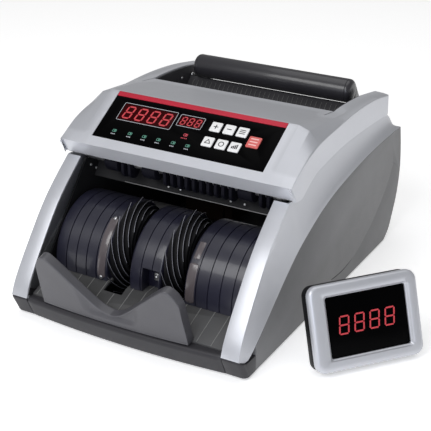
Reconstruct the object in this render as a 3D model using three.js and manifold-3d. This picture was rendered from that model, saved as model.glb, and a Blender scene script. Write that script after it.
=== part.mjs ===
// Banknote counting machine with its separate counting display.
// Millimetres, +Z up, the operator stands on the -Y side, X runs left to right.
// The machine itself is centred on x = 0 and stands on z = 0.
import * as THREE from 'three';
import { mergeVertices } from 'three/addons/utils/BufferGeometryUtils.js';
import Module from 'manifold-3d';

const wasm = await Module();
wasm.setup();
const { Manifold, Mesh: ManifoldMesh } = wasm;

// ---------------------------------------------------------------- driving dimensions
const HALF_WIDTH = 115;              // outside of the side panels
const SKIN = 3.2;                    // thickness of the side mouldings
const GAP = 0.3;                     // between neighbouring pieces
const WALL = 2.6;                    // thickness of the covers
const SET_CENTRE_X = 54.7;           // middle of machine and display together
const SET_CENTRE_Y = -4.8;

const POST_INNER = 96.3;             // stacker opening between the posts is twice this
const POST_FOOT = [-163.7, 21.8];    // front face of a post, as y and z
const POST_TOP = [-75.4, 123.6];
const FOOT_HEEL = [-155, 17.2];      // rear end of a post's underside
const BASE_Z = 2;                    // underside of the base, on 2 mm of rubber feet
const TRAY_TOP = 5;                  // inside face of the bottom tray

const PANEL_TILT = THREE.MathUtils.degToRad(30.7);
const PANEL_HALF = 84.6;
const PANEL_FRONT = [-73.4, 145];    // lower edge of the control panel, as y and z
const PANEL_LENGTH = 48.3;           // black part, measured up the slope
const TRIM_LENGTH = 5.6;             // red bar above it, with its gaps
const DECK_REAR = [43, 162.4];       // where the hopper opening starts
const ARCH_INNER = 93.9;
const ARCH_REAR_Y = 138.6;

const DRUM_Y = -74.8;                // curved covers between the stacker wheels
const DRUM_Z = 40.5;
const DRUM_RADIUS = 49.5;
const STACKER_Y = -86;               // shaft of the stacker wheels
const STACKER_Z = 53.5;
const STACKER_RADIUS = 45.4;         // to the tips of the fingers
const WHEEL_X = 27.1;
const WHEEL_WIDTH = 13;
const WHEEL_HUB = 17;
const FINGERS = 15;
const FINGER_SWEEP = 150;            // degrees of turn from a finger's tip to its root
const FINGER_SLANT = 80;             // degrees from the tip to where a finger is full width
const FLOOR_FRONT = [-155.2, 23.6];  // top of the sloping stacker floor
const FLOOR_CREST = [-124.6, 35.3];

const FEED = { y: 40, z: 86, tyre: 15, pulley: 12 };
const PICKUP = { y: 73, z: 97.5, tyre: 12 };
const COUNTER = { y: -60, z: 121, tyre: 10.5 };
const MOTOR = { y: 96, z: 38, radius: 21 };
const STACKER_MOTOR = { y: 12, z: 31, radius: 17 };
const STACKER_PULLEY = 12;
const MOTOR_PULLEY = 7;
const SHAFT = 4;
const SHAFT_HALF = 107;
const PULLEY_X = [101, 106];

const HANDLE = { y: 109.6, z: 159.4, radius: 11.2, half: 84, cap: 5, pivotY: 126, pivotZ: 140 };

const DISPLAY = { x: 165.5, y: -128, z: 6.4, yaw: 50.5, lean: 21.6, width: 97.2, height: 71.1 };

// ---------------------------------------------------------------- helpers
function material(colour, roughness, metalness = 0) {
  return new THREE.MeshStandardMaterial({ color: colour, roughness, metalness });
}

const silver = () => material(0xc9cbd0, 0.38, 0.2);
const charcoal = () => material(0x4a4b4e, 0.6);
const sideGrey = () => material(0x6f7072, 0.65);
const glossBlack = () => material(0x111114, 0.15);
const blackPlastic = () => material(0x1c1c20, 0.35);
const steel = () => material(0xb5b7ba, 0.3, 0.9);
const rubber = () => material(0x242426, 0.85);
const boardGreen = () => material(0x1f5a37, 0.6);

function solid(geometry) {
  geometry.deleteAttribute('normal');
  geometry.deleteAttribute('uv');
  const merged = mergeVertices(geometry, 1e-4);
  return new Manifold(new ManifoldMesh({
    numProp: 3,
    vertProperties: new Float32Array(merged.attributes.position.array),
    triVerts: new Uint32Array(merged.index.array),
  }));
}

function geometryOf(manifold) {
  const raw = manifold.getMesh();
  const geometry = new THREE.BufferGeometry();
  geometry.setAttribute('position', new THREE.BufferAttribute(raw.vertProperties, 3));
  geometry.setIndex(new THREE.BufferAttribute(raw.triVerts, 1));
  geometry.computeVertexNormals();
  return geometry;
}

function piece(parent, name, manifold, look, position = [0, 0, 0]) {
  const mesh = new THREE.Mesh(geometryOf(manifold), look);
  mesh.name = name;
  mesh.position.set(...position);
  parent.add(mesh);
  return mesh;
}

const unite = (...solids) => solids.reduce((whole, next) => whole.add(next));
const cut = (whole, ...tools) => tools.reduce((left, tool) => left.subtract(tool), whole);

function box(x, y, z) {
  const geometry = new THREE.BoxGeometry(x[1] - x[0], y[1] - y[0], z[1] - z[0]);
  geometry.translate((x[0] + x[1]) / 2, (y[0] + y[1]) / 2, (z[0] + z[1]) / 2);
  return solid(geometry);
}

const toShape = (points) => new THREE.Shape(points.map(([u, v]) => new THREE.Vector2(u, v)));

// A side outline given as y, z points, extruded from x[0] to x[1].
function slab(x, outline) {
  const geometry = new THREE.ExtrudeGeometry(toShape(outline), { depth: x[1] - x[0], bevelEnabled: false });
  const axes = new THREE.Matrix4().makeBasis(
    new THREE.Vector3(0, 1, 0), new THREE.Vector3(0, 0, 1), new THREE.Vector3(1, 0, 0));
  geometry.applyMatrix4(axes.setPosition(x[0], 0, 0));
  return solid(geometry);
}

// A plan outline given as x, y points, extruded from z[0] to z[1].
function plate(z, outline) {
  const geometry = new THREE.ExtrudeGeometry(toShape(outline), { depth: z[1] - z[0], bevelEnabled: false });
  geometry.translate(0, 0, z[0]);
  return solid(geometry);
}

function rod(x, y, z, radius, sides = 16) {
  const geometry = new THREE.CylinderGeometry(radius, radius, x[1] - x[0], sides);
  geometry.rotateZ(Math.PI / 2);
  geometry.translate((x[0] + x[1]) / 2, y, z);
  return solid(geometry);
}

function arc(y, z, radius, from, to, steps) {
  return Array.from({ length: steps + 1 }, (_, i) => {
    const angle = THREE.MathUtils.degToRad(from + ((to - from) * i) / steps);
    return [y + radius * Math.cos(angle), z + radius * Math.sin(angle)];
  });
}

// A smooth line through a few points, sampled into short steps.
function smooth(points, steps) {
  const curve = new THREE.SplineCurve(points.map(([u, v]) => new THREE.Vector2(u, v)));
  return curve.getPoints(steps).map((p) => [p.x, p.y]);
}

// The same line as a function, second value against the first.
function along(points) {
  const line = smooth(points, 160);
  return (u) => {
    const i = line.findIndex((p) => p[0] >= u);
    if (i === -1) return line[line.length - 1][1];
    if (i === 0) return line[0][1];
    const [a, b] = [line[i - 1], line[i]];
    return a[1] + ((b[1] - a[1]) * (u - a[0])) / (b[0] - a[0]);
  };
}

// A closed skin through matching rings of x, y, z points, capped at both ends.
function loft(sections) {
  const flatten = (ring) => ring.map(([x, , z]) => new THREE.Vector2(x, z));
  const clockwise = THREE.ShapeUtils.area(flatten(sections[0])) < 0;
  const rings = clockwise ? sections.map((ring) => ring.slice().reverse()) : sections;
  const count = rings[0].length;
  const index = [];
  for (let r = 0; r + 1 < rings.length; r += 1) {
    for (let i = 0; i < count; i += 1) {
      const a = r * count + i;
      const b = r * count + ((i + 1) % count);
      index.push(a, b + count, b, a, a + count, b + count);
    }
  }
  const last = (rings.length - 1) * count;
  THREE.ShapeUtils.triangulateShape(flatten(rings[0]), []).forEach(([a, b, c]) => index.push(a, b, c));
  THREE.ShapeUtils.triangulateShape(flatten(rings[rings.length - 1]), [])
    .forEach(([a, b, c]) => index.push(last + a, last + c, last + b));
  const geometry = new THREE.BufferGeometry();
  geometry.setAttribute('position', new THREE.Float32BufferAttribute(rings.flat(2), 3));
  geometry.setIndex(index);
  return solid(geometry);
}

// The same through rings that each lie at one x.
function across(sections) {
  const turned = loft(sections.map((ring) => ring.map(([x, y, z]) => [y, x, z])));
  return turned.rotate([0, 0, 90]).mirror([1, 0, 0]);
}

const mirrored = (manifold) => manifold.mirror([1, 0, 0]);
const steps = (from, to, count) => (
  Array.from({ length: count + 1 }, (_, i) => from + ((to - from) * i) / count));

// ---------------------------------------------------------------- shared lines of the casing
const PEAK = [
  PANEL_FRONT[0] + (PANEL_LENGTH + TRIM_LENGTH) * Math.cos(PANEL_TILT),
  PANEL_FRONT[1] + (PANEL_LENGTH + TRIM_LENGTH) * Math.sin(PANEL_TILT),
];
const LIP_TOP = [-80.3, 138.9];
const LIP_BOTTOM = [-72.7, 125.2];
const archTop = along([
  [-80.3, 138.9], [-56.5, 151.4], [-28.4, 158.2], [14, 160.4], [58, 161], [100, 158], [138.6, 151.7],
]);
const archFoot = along([
  [-80.3, 125], [-60, 121.8], [-45, 125.2], [-23.7, 130], [25, 135.4], [60.8, 136], [106, 134.4], [160, 131],
]);
const POST_FACE = [POST_FOOT, [-157.6, 35.5], [-139.5, 60.3], [-110, 95], POST_TOP];
const postFace = along(POST_FACE);
const beltLine = along([
  [-150, 16.5], [-80.5, 67.8], [-37.2, 89.6], [-0.1, 101.2], [39.7, 107.8], [76, 111.7], [115, 113.6],
  [170, 113.9],
]);
const REAR_BULGE = [
  [134.3, BASE_Z], [146, 10], [154.5, 25], [162.4, 42], [166.8, 65], [165.4, 88], [160.5, 113.4],
];

// Height at y on the straight line through two y, z points.
const onLine = (y, a, b) => a[1] + ((y - a[0]) * (b[1] - a[1])) / (b[0] - a[0]);

function headHeight(y) {
  if (y <= PANEL_FRONT[0]) return onLine(y, LIP_TOP, PANEL_FRONT);
  if (y <= PEAK[0]) return onLine(y, PANEL_FRONT, PEAK);
  return onLine(y, PEAK, DECK_REAR);
}

// ---------------------------------------------------------------- silver covers
// One side of the top cover: shoulder, arch and the wall below it.
function archSide() {
  const rings = [];
  const stations = [
    ...steps(-80.2, PEAK[0], 7), ...steps(PEAK[0] + 0.4, DECK_REAR[0], 4), ...steps(52, ARCH_REAR_Y, 5),
  ];
  stations.forEach((y) => {
    const outerX = THREE.MathUtils.mapLinear(Math.max(y, -56), -56, ARCH_REAR_Y, 114, 108.6);
    const outerZ = archTop(y);
    const overHead = y <= DECK_REAR[0];
    const rise = overHead ? headHeight(y) - outerZ : 1.6;
    const facet = y <= PEAK[0] ? (3.5 * (y - LIP_TOP[0])) / (PEAK[0] - LIP_TOP[0]) : 0.25 * rise;
    const innerZ = outerZ + Math.max(rise, 0.3);
    const creaseZ = overHead ? Math.max(innerZ - facet, outerZ + 0.1) : outerZ + 0.9;
    const footX = y < -60 ? 113.6 : THREE.MathUtils.mapLinear(Math.min(y, -20), -60, -20, 113.6, 109);
    const footZ = y < LIP_BOTTOM[0] ? onLine(y, LIP_TOP, LIP_BOTTOM) - 0.4 : archFoot(y);
    const inner = overHead ? WALL : 5;
    rings.push([
      [ARCH_INNER, y, innerZ],
      [ARCH_INNER + 9.6, y, creaseZ],
      [outerX, y, outerZ],
      [Math.max(footX, 108.4), y, Math.min(footZ, outerZ - 0.6)],
      [Math.max(footX, 108.4) - WALL, y, Math.min(footZ, outerZ - 0.8) - 0.05],
      [outerX - WALL, y, Math.max(outerZ - WALL, footZ + 0.1)],
      [ARCH_INNER + 9.6, y, creaseZ - WALL],
      [ARCH_INNER + WALL, y, innerZ - WALL],
      [ARCH_INNER + WALL, y, innerZ - inner],
      [ARCH_INNER, y, innerZ - inner],
    ]);
  });
  return loft(rings);
}

function panelBox(x, v, depth) {
  const geometry = new THREE.BoxGeometry(x[1] - x[0], v[1] - v[0], depth[1] - depth[0]);
  geometry.translate((x[0] + x[1]) / 2, (v[0] + v[1]) / 2, (depth[0] + depth[1]) / 2);
  geometry.rotateX(PANEL_TILT);
  geometry.translate(0, PANEL_FRONT[0], PANEL_FRONT[1]);
  return solid(geometry);
}

function topCover() {
  const head = slab([-ARCH_INNER - 0.5, ARCH_INNER + 0.5], [
    LIP_BOTTOM, LIP_TOP, PANEL_FRONT, PEAK, DECK_REAR,
    [DECK_REAR[0], DECK_REAR[1] - WALL], [PEAK[0] + 0.8, PEAK[1] - WALL - 0.3],
    [PANEL_FRONT[0] + 1.4, PANEL_FRONT[1] - WALL - 0.3], [LIP_TOP[0] + 3.6, LIP_TOP[1] - 0.8],
    [LIP_BOTTOM[0] + 2.6, LIP_BOTTOM[1] + 0.6],
  ]);
  const whole = unite(head, archSide(), mirrored(archSide()));
  const window = panelBox([-PANEL_HALF, PANEL_HALF], [0, PANEL_LENGTH + TRIM_LENGTH - 0.1], [-8, 4]);
  const slits = [-1, 1].map((side) => {
    const x = side * (ARCH_INNER + 0.5);
    return box([x - 0.5, x + 0.5], [23.5, DECK_REAR[0] + 2], [150, 172]);
  });
  return cut(whole, window, ...slits);
}

// Post and flared skirt below the arch, as one moulding.
function sideFrame() {
  const front = smooth(POST_FACE, 10);
  const face = slab([POST_INNER, HALF_WIDTH - SKIN], [
    ...front, ...offset(front, -3.6).slice(1).reverse(), FOOT_HEEL,
  ]);
  const rings = [-161, -158, -155, ...steps(-148, 158, 18)].map((y) => {
    const low = Math.max(beltLine(y) + 0.15, onLine(y, POST_FOOT, FOOT_HEEL));
    const postHeight = y < POST_TOP[0] ? postFace(y) - 0.2 : Infinity;
    const onRearEdge = Math.max(y - 141, 0) / 18.5;
    const high = Math.min(postHeight, archFoot(Math.max(y, -62)) - 0.5 - 17.4 * onRearEdge);
    const flare = y < -60 ? THREE.MathUtils.mapLinear(Math.max(y, -110), -110, -60, 1.4, 5) : 7;
    const rise = flare * (1 - Math.min(onRearEdge, 0.97));
    const side = HALF_WIDTH - 0.08 * Math.max(FOOT_HEEL[0] - y, 0) ** 2;
    const ring = [];
    const turns = 4;
    for (let i = 0; i <= turns; i += 1) {
      const t = i / turns;
      ring.push([side - rise * (1 - (1 - t) ** 2.2), y, low + Math.max(high - low, 1.2) * t]);
    }
    return [...ring, ...ring.slice().reverse().map(([x, yy, z]) => [x - SKIN + 0.4, yy, z])];
  });
  return unite(face, loft(rings));
}

// ---------------------------------------------------------------- dark base
const SIDE_GROOVE = [[148, 80.7], [130.8, 58.6], [103.5, 38.1], [69.7, 21.3], [36, 15.2], [7.5, 16.7]];

function sidePanel() {
  const line = steps(-146, 160, 14).map((y) => [y, beltLine(y) - 0.15]);
  const skin = slab([HALF_WIDTH - SKIN, HALF_WIDTH], [
    [-151, BASE_Z], ...smooth(REAR_BULGE, 10), ...line.reverse(), [-151, 16],
  ]);
  const round = 5;
  const sections = [POST_INNER + 0.4 - HALF_WIDTH + round, ...steps(0, 90, 5).map((turn) => (
    round * Math.sin(THREE.MathUtils.degToRad(turn))))].map((x) => {
    const back = round - Math.sqrt(round ** 2 - Math.max(x, 0) ** 2);
    return [
      [-155 + back, BASE_Z], [-163.2 + back, 19.4 - 0.53 * back], [-162.8 + back, 20.9 - 0.53 * back],
      [-155.2, 16.6], [-146, 16.2], [-139, 16.2], [-139, BASE_Z],
    ].map(([y, z]) => [HALF_WIDTH - round + x, y, z]);
  });
  const corner = across(sections);
  const groove = smooth(SIDE_GROOVE, 10);
  const grooveTool = slab([HALF_WIDTH - 0.9, HALF_WIDTH + 1], [
    ...groove.map(([y, z]) => [y, z + 0.6]), ...groove.map(([y, z]) => [y, z - 0.6]).reverse(),
  ]);
  return cut(unite(skin, corner), grooveTool);
}

function bottomChassis() {
  const tray = plate([BASE_Z, TRAY_TOP], [
    [-POST_INNER + 0.2, -150.5], [POST_INNER - 0.2, -150.5], [POST_INNER - 0.2, -138.5], [111.4, -138.5],
    [111.4, 132.4], [-111.4, 132.4], [-111.4, -138.5], [-POST_INNER + 0.2, -138.5],
  ]);
  const rails = [-1, 1].map((side) => box([side * 100 - 1.2, side * 100 + 1.2], [-120, 110], [4.5, 7.6]));
  return unite(tray, ...rails);
}

const apronBow = (x) => 5 * (1 - (x / 97) ** 2);

function frontApron() {
  const rings = steps(-POST_INNER, POST_INNER, 12).map((x) => {
    const bow = apronBow(x);
    return [
      [-155 - bow, BASE_Z], [-162.5 - bow, 19.5], [-161.5 - bow, 22.2], [-155.6, 22.2], [-155.4, 17],
      [-151, 13], [-151, BASE_Z],
    ].map(([y, z]) => [x, y, z]);
  });
  return across(rings);
}

function stackerFloor() {
  const deep = 2.4;
  const sheet = slab([-POST_INNER + 0.5, POST_INNER - 0.5], [
    FLOOR_FRONT, FLOOR_CREST, [-30, FLOOR_CREST[1]], [-30, FLOOR_CREST[1] - deep],
    [FLOOR_CREST[0] + 0.4, FLOOR_CREST[1] - deep], [FLOOR_FRONT[0], FLOOR_FRONT[1] - deep - 0.3],
  ]);
  const legs = [-1, 1].map((side) => box([side * 90 - 2, side * 90 + 2], [-150, -34], [5.4, 24]));
  const wedge = slab([-92, 92], [[-150, 5.4], [-147, 5.4], [-146, 26], [-150, 24]]);
  const slots = [-WHEEL_X, WHEEL_X].map((x) => box([x - 9.2, x + 9.2], [-133, -33.5], [20, 40]));
  const legTops = [-1, 1].map((side) => slab([side * 90 - 2, side * 90 + 2], [
    [-150, 23], [-150, 24.6], [FLOOR_CREST[0], FLOOR_CREST[1] - 1], [-34, FLOOR_CREST[1] - 1], [-34, 23],
  ]));
  return cut(unite(sheet, ...legs, ...legTops, wedge), ...slots);
}

// Front stop plate: two peaks and a rounded valley, leaning out over the apron.
function stopPlate() {
  const thick = 9;
  const top = smooth([
    [0, 10.5], [7, 12.3], [15.3, 17.5], [35.5, 35.4], [52, 50], [59.4, 53.9], [66, 49.3], [70, 41],
  ], 20);
  const half = [...top, [72, 0]];
  const outline = [...half, ...half.slice().reverse().filter(([x]) => x > 0.01).map(([x, z]) => [-x, z])];
  const geometry = new THREE.ExtrudeGeometry(toShape(outline), { depth: thick, bevelEnabled: false });
  geometry.rotateX(Math.PI / 2);
  geometry.translate(0, thick, 0);
  return solid(geometry);
}

// ---------------------------------------------------------------- stacker pocket
function drumCover(x, open) {
  const front = [DRUM_Y - Math.sqrt(DRUM_RADIUS ** 2 - 4.6 ** 2), FLOOR_CREST[1] + GAP];
  const outer = [
    front, ...arc(DRUM_Y, DRUM_Z, DRUM_RADIUS, 180, 52, 10), [-33, 62], [-31, FLOOR_CREST[1] + GAP],
  ];
  const inner = [
    [front[0] + WALL, 30], ...arc(DRUM_Y, DRUM_Z, DRUM_RADIUS - WALL, 180, 52, 10), [-35.6, 61], [-33.6, 30],
  ];
  let cover = cut(slab(x, outer), slab([x[0] + WALL, x[1] - WALL], inner));
  cover = cut(cover, rod([x[0] - 1, x[1] + 1], STACKER_Y, STACKER_Z, SHAFT + 1.5));
  return open ? cut(cover, box([-3, 13.6], [-130, -110], [38, 57])) : cover;
}

// One long spiral finger, pointed at its left side, with its tip at an angle of 15 degrees.
function spiralFinger() {
  const half = WHEEL_WIDTH / 2;
  const rings = steps(FINGER_SWEEP, 0, 8).map((turn) => {
    const flick = 0.9 * Math.min(turn / 20, 1);
    const fall = (STACKER_RADIUS + 0.6 - WHEEL_HUB) * (turn / FINGER_SWEEP) ** 2;
    const radius = STACKER_RADIUS - flick - fall;
    const thick = 0.7 + (0.9 * turn) / FINGER_SWEEP;
    const right = -half + 1 + (WHEEL_WIDTH - 1) * Math.min(turn / FINGER_SLANT, 1);
    const angle = THREE.MathUtils.degToRad(15 + turn);
    const corners = [[-half, radius - thick], [right, radius - thick], [right, radius], [-half, radius]];
    return corners.map(([x, r]) => [x, r * Math.cos(angle), r * Math.sin(angle)]);
  });
  return loft(rings);
}

// Hub with nested spiral fingers that catch the notes.
function stackerWheel() {
  const half = WHEEL_WIDTH / 2;
  const finger = spiralFinger();
  const fingers = Array.from({ length: FINGERS }, (_, i) => finger.rotate([(i * 360) / FINGERS, 0, 0]));
  const hub = rod([-half, half], 0, 0, WHEEL_HUB, 20);
  return cut(unite(hub, ...fingers), rod([-half - 1, half + 1], 0, 0, SHAFT + 0.3, 12));
}

function shaftWithPulley(pulleyRadius, side) {
  const pulley = side < 0 ? [-PULLEY_X[1], -PULLEY_X[0]] : PULLEY_X;
  return unite(rod([-SHAFT_HALF, SHAFT_HALF], 0, 0, SHAFT, 12), rod(pulley, 0, 0, pulleyRadius, 20));
}

// Rubber tyres, given as middle and width, on a shaft.
function roller(shaft, tyres, tyreRadius) {
  const wheels = tyres.map(([middle, width]) => (
    rod([middle - width / 2, middle + width / 2], 0, 0, tyreRadius, 20)));
  return unite(shaft, ...wheels);
}

function sidePlate(side) {
  const x = side > 0 ? [97, 98.8] : [-98.8, -97];
  const outline = [
    [-143, 27.5], [-71, 112.5], [-66, 119], [-46, 122.5], [-22, 127], [30, 132], [100, 132], [117, 120],
    [122, 60], [122, 8.2], [-120, 8.2], [-140, 17],
  ];
  const places = [{ y: STACKER_Y, z: STACKER_Z }, FEED, PICKUP, COUNTER, side > 0 ? MOTOR : STACKER_MOTOR];
  const bearings = places.map(({ y, z }) => rod([x[0] - 1, x[1] + 1], y, z, SHAFT + 0.5, 12));
  return cut(slab(x, outline), ...bearings);
}

const NARROW_RIBS = [-56, -49, -12.6, -5.4, 1.8, 9, 16.2, 23.4, 30.6, 37.8, 45, 52.2, 80.6, 87.8];
const WIDE_ROLLERS = [[-68, 14], [-29, 14], [66, 14]];

function guideComb() {
  const bar = slab([-95.8, 95.8], [[-69.4, 132.4], [-69.4, 135.2], [-44, 138.2], [-44, 135.2]]);
  const rib = [[-69.4, 134], ...arc(-61.5, 116, 8.2, 180, 330, 5), [-47, 136]];
  const ribs = NARROW_RIBS.map((x) => slab([x - 1.5, x + 1.5], rib));
  const clear = rod([-97, 97], COUNTER.y, COUNTER.z, SHAFT + 1, 8);
  return cut(unite(bar, ...ribs), clear);
}

function sensorBar() {
  const web = slab([-95.8, 95.8], [
    [-56.5, 98.6], [-53.5, 98.6], [-46, 108], [-46, 118], [-48.6, 118], [-48.8, 109],
  ]);
  const blocks = [-60, -20, 20, 60].map((x) => box([x - 6, x + 6], [-47, -36], [106, 116]));
  return unite(web, ...blocks);
}

// ---------------------------------------------------------------- hopper
const PLATE_TOP = [106.5, 146.5];
const PLATE_FOOT = [57, 97];

function hopperPlate() {
  const d = WALL / Math.SQRT2;
  const sheet = slab([-91.2, 91.2], [
    PLATE_FOOT, [PLATE_FOOT[0] + d, PLATE_FOOT[1] - d], [PLATE_TOP[0] + d, PLATE_TOP[1] - d], PLATE_TOP,
  ]);
  const slots = [-30, 30].map((x) => box([x - 9, x + 9], [PICKUP.y - 22, PICKUP.y + 14], [88, 118]));
  return cut(sheet, ...slots);
}

function hopperWall() {
  const top = steps(DECK_REAR[0] + 0.6, 136, 10).map((y) => [y, archTop(y) + 0.3]);
  const outline = [...top.reverse(), [DECK_REAR[0] + 0.6, 102.2], [98, 102.2], [120, 128.5], [136, 132]];
  const x = [ARCH_INNER - 2.3, ARCH_INNER - GAP];
  return cut(slab(x, outline), rod([x[0] - 1, x[1] + 1], HANDLE.pivotY, HANDLE.pivotZ, 3.4, 16));
}

function carryingHandle() {
  const grip = rod([-HANDLE.half, HANDLE.half], HANDLE.y, HANDLE.z, HANDLE.radius, 20);
  const arms = [-1, 1].map((side) => {
    const x = side > 0 ? [HANDLE.half - HANDLE.cap, HANDLE.half] : [-HANDLE.half, -HANDLE.half + HANDLE.cap];
    const arm = slab(x, [
      [HANDLE.y - 6, HANDLE.z - 7], [HANDLE.pivotY - 5, HANDLE.pivotZ - 4],
      [HANDLE.pivotY + 5, HANDLE.pivotZ + 4], [HANDLE.y + 7, HANDLE.z + 6],
    ]);
    const eye = rod(x, HANDLE.pivotY, HANDLE.pivotZ, 6.4);
    const pin = side > 0 ? [HANDLE.half - 1, ARCH_INNER - 0.6] : [-ARCH_INNER + 0.6, -HANDLE.half + 1];
    return unite(arm, eye, rod(pin, HANDLE.pivotY, HANDLE.pivotZ, 3, 16));
  });
  return unite(grip, ...arms);
}

// ---------------------------------------------------------------- rear cover and what it carries
const SOCKET_BAY = { x: [26, 96], z: [16, 54], wallY: 150 };
const INLET = { x: [32.3, 56.1], z: [26.3, 43.1], pins: [40, 48.4] };
const ROCKER = [62.8, 74.4];         // width of the mains switch
const FUSE = { x: 87.5, z: 43.5, radius: 5.1 };
const JACK = { x: [81.5, 93.3], z: [21.3, 31.3] };
const TOP_HALF = 78;
const KNOB = { x: -46, y: 164.2, z: 97 };
const REAR_SKIN = [
  [134.3, BASE_Z], [146, 10], [154.5, 25], [161.4, 42], [165.4, 65], [163.6, 88], [157, 113],
];

const offset = (line, by) => line.map(([y, z], i) => {
  const [a, b] = [line[Math.max(i - 1, 0)], line[Math.min(i + 1, line.length - 1)]];
  const length = Math.hypot(b[0] - a[0], b[1] - a[1]);
  return [y - ((b[1] - a[1]) / length) * by, z + ((b[0] - a[0]) / length) * by];
});

function rearCover() {
  const lower = smooth(REAR_SKIN, 10);
  const upper = smooth([[157, 113], [152, 124], [142, 134], [126, 138.6], [108, 139.6]], 6);
  const lowerSkin = slab([-111.4, 111.4], [...lower, ...offset(lower, WALL).reverse()]);
  const upperSkin = slab([-TOP_HALF, TOP_HALF], [...upper, ...offset(upper, WALL).reverse()]);
  const joint = slab([-TOP_HALF, TOP_HALF], [[157, 112], [157, 114], [154, 115], [153.6, 111]]);
  const corner = slab([TOP_HALF - 0.5, 104.8], [
    [156.6, 111.5], [156.6, 113.4], [149, 120], [136, 124.5], [123.4, 125.6], [123.4, 123], [135, 122],
    [147, 117.5], [153.6, 111.5],
  ]);
  const bayWidth = [SOCKET_BAY.x[0] - 2, SOCKET_BAY.x[1] + 2];
  const filled = slab(bayWidth, [[140, BASE_Z + 6], ...lower.slice(2), [140, 113]]);
  const bayOuter = box(bayWidth, [SOCKET_BAY.wallY - 2, 172], [SOCKET_BAY.z[0] - 2, SOCKET_BAY.z[1] + 2]);
  const bay = box(SOCKET_BAY.x, [SOCKET_BAY.wallY, 172], SOCKET_BAY.z);
  const vents = Array.from({ length: 7 }, (_, i) => box([-92, -28], [140, 172], [22 + i * 7, 24.6 + i * 7]));
  const knobHole = new THREE.CylinderGeometry(4, 4, 40, 16);
  knobHole.translate(KNOB.x, 155, KNOB.z);
  const throughWall = (x, z) => box([x[0] - GAP, x[1] + GAP], [145, 153], [z[0] - GAP, z[1] + GAP]);
  const openings = [
    throughWall(INLET.x, INLET.z),
    throughWall([ROCKER[0] - 0.5, ROCKER[1] + 0.5], [25.3, 43.9]),
    throughWall(JACK.x, JACK.z),
    throughWall([FUSE.x - FUSE.radius, FUSE.x + FUSE.radius], [FUSE.z - FUSE.radius, FUSE.z + FUSE.radius]),
  ];
  const skins = unite(lowerSkin, upperSkin, joint, corner, mirrored(corner), filled.intersect(bayOuter));
  return cut(skins, bay, solid(knobHole), ...vents, ...openings);
}

const grown = (range, by) => [range[0] - by, range[1] + by];

function powerInlet() {
  const flange = box(grown(INLET.x, 1.9), [150.3, 152.3], grown(INLET.z, 1.9));
  const body = box(INLET.x, [134, 150.6], INLET.z);
  const cavity = box(grown(INLET.x, -2.7), [139, 153], grown(INLET.z, -2.7));
  const pins = INLET.pins.map((x) => box([x - 1.2, x + 1.2], [138, 149], [33, 36.4]));
  return unite(cut(unite(flange, body), cavity), ...pins);
}

// Two-position rocker, a shallow V in side view.
const switchRocker = () => slab(ROCKER, [
  [151.8, 26], [150.8, 34.6], [153.4, 43.2], [147, 41.5], [147, 27.7],
]);

function fuseHolder() {
  const cap = new THREE.CylinderGeometry(6.4, 6.4, 5, 20);
  cap.translate(FUSE.x, 152.9, FUSE.z);
  const barrel = new THREE.CylinderGeometry(FUSE.radius, FUSE.radius, 24, 20);
  barrel.translate(FUSE.x, 139, FUSE.z);
  return unite(solid(cap), solid(barrel));
}

function displayJack() {
  const body = box(JACK.x, [138, 150.8], JACK.z);
  const rim = box(grown(JACK.x, 1.1), [150.3, 151.5], grown(JACK.z, 1.3));
  return cut(unite(body, rim), box(grown(JACK.x, -1.5), [141, 153], grown(JACK.z, -1.7)));
}

function thicknessKnob() {
  const cap = new THREE.CylinderGeometry(9, 9.6, 3, 20);
  cap.translate(0, 1.5, 0);
  const stem = new THREE.CylinderGeometry(3.4, 3.4, 24, 12);
  stem.translate(0, -11, 0);
  const grip = box([-1.6, 1.6], [2, 4.6], [-8, 8]);
  return unite(solid(cap), solid(stem), grip);
}

// ---------------------------------------------------------------- drives and boards
function motor(x, place, bossSide) {
  const can = rod(x, 0, 0, place.radius, 24);
  const boss = bossSide > 0 ? rod([x[1] - 1, x[1] + 4], 0, 0, 9) : rod([x[0] - 4, x[0] + 1], 0, 0, 9);
  const footHalf = place.radius - 3;
  const foot = box([x[0] + 8, x[1] - 8], [-footHalf, footHalf], [TRAY_TOP + GAP - place.z, 6 - place.radius]);
  const bore = rod([x[0] - 8, x[1] + 8], 0, 0, 3, 12);
  return cut(unite(can, boss, foot), bore);
}

function motorPulley(shaftX, pulleyX) {
  return unite(rod(shaftX, 0, 0, 2.4, 12), rod(pulleyX, 0, 0, MOTOR_PULLEY, 20));
}

// A flat belt around two pulleys, given as y, z, radius.
function belt(x, a, b) {
  const loop = (extra) => {
    const heading = Math.atan2(b.z - a.z, b.y - a.y);
    const lean = Math.acos((a.radius - b.radius) / Math.hypot(b.z - a.z, b.y - a.y));
    const deg = THREE.MathUtils.radToDeg;
    return [
      ...arc(a.y, a.z, a.radius + extra, deg(heading + lean), deg(heading - lean) + 360, 12),
      ...arc(b.y, b.z, b.radius + extra, deg(heading - lean), deg(heading + lean), 12),
    ];
  };
  return cut(slab(x, loop(1.7)), slab([x[0] - 1, x[1] + 1], loop(0.4)));
}

function mainBoard() {
  const card = box([-24, 68], [-18, 70], [10, 11.6]);
  const posts = [[-20, -14], [64, -14], [-20, 66], [64, 66]]
    .map(([x, y]) => box([x - 2, x + 2], [y - 2, y + 2], [5.3, 10.4]));
  const chips = [
    [0, 10, 14, 14, 3], [30, 10, 10, 20, 3], [-2, 45, 16, 24, 9], [44, 44, 12, 12, 12], [24, 52, 8, 8, 10],
  ]
    .map(([x, y, w, d, h]) => box([x - w / 2, x + w / 2], [y - d / 2, y + d / 2], [11, 11.6 + h]));
  return unite(card, ...posts, ...chips);
}

function powerTransformer() {
  const core = box([-84, -30], [84, 126], [5.3, 50]);
  const coil = box([-76, -38], [80, 130], [12, 44]);
  return unite(core, coil);
}

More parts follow.
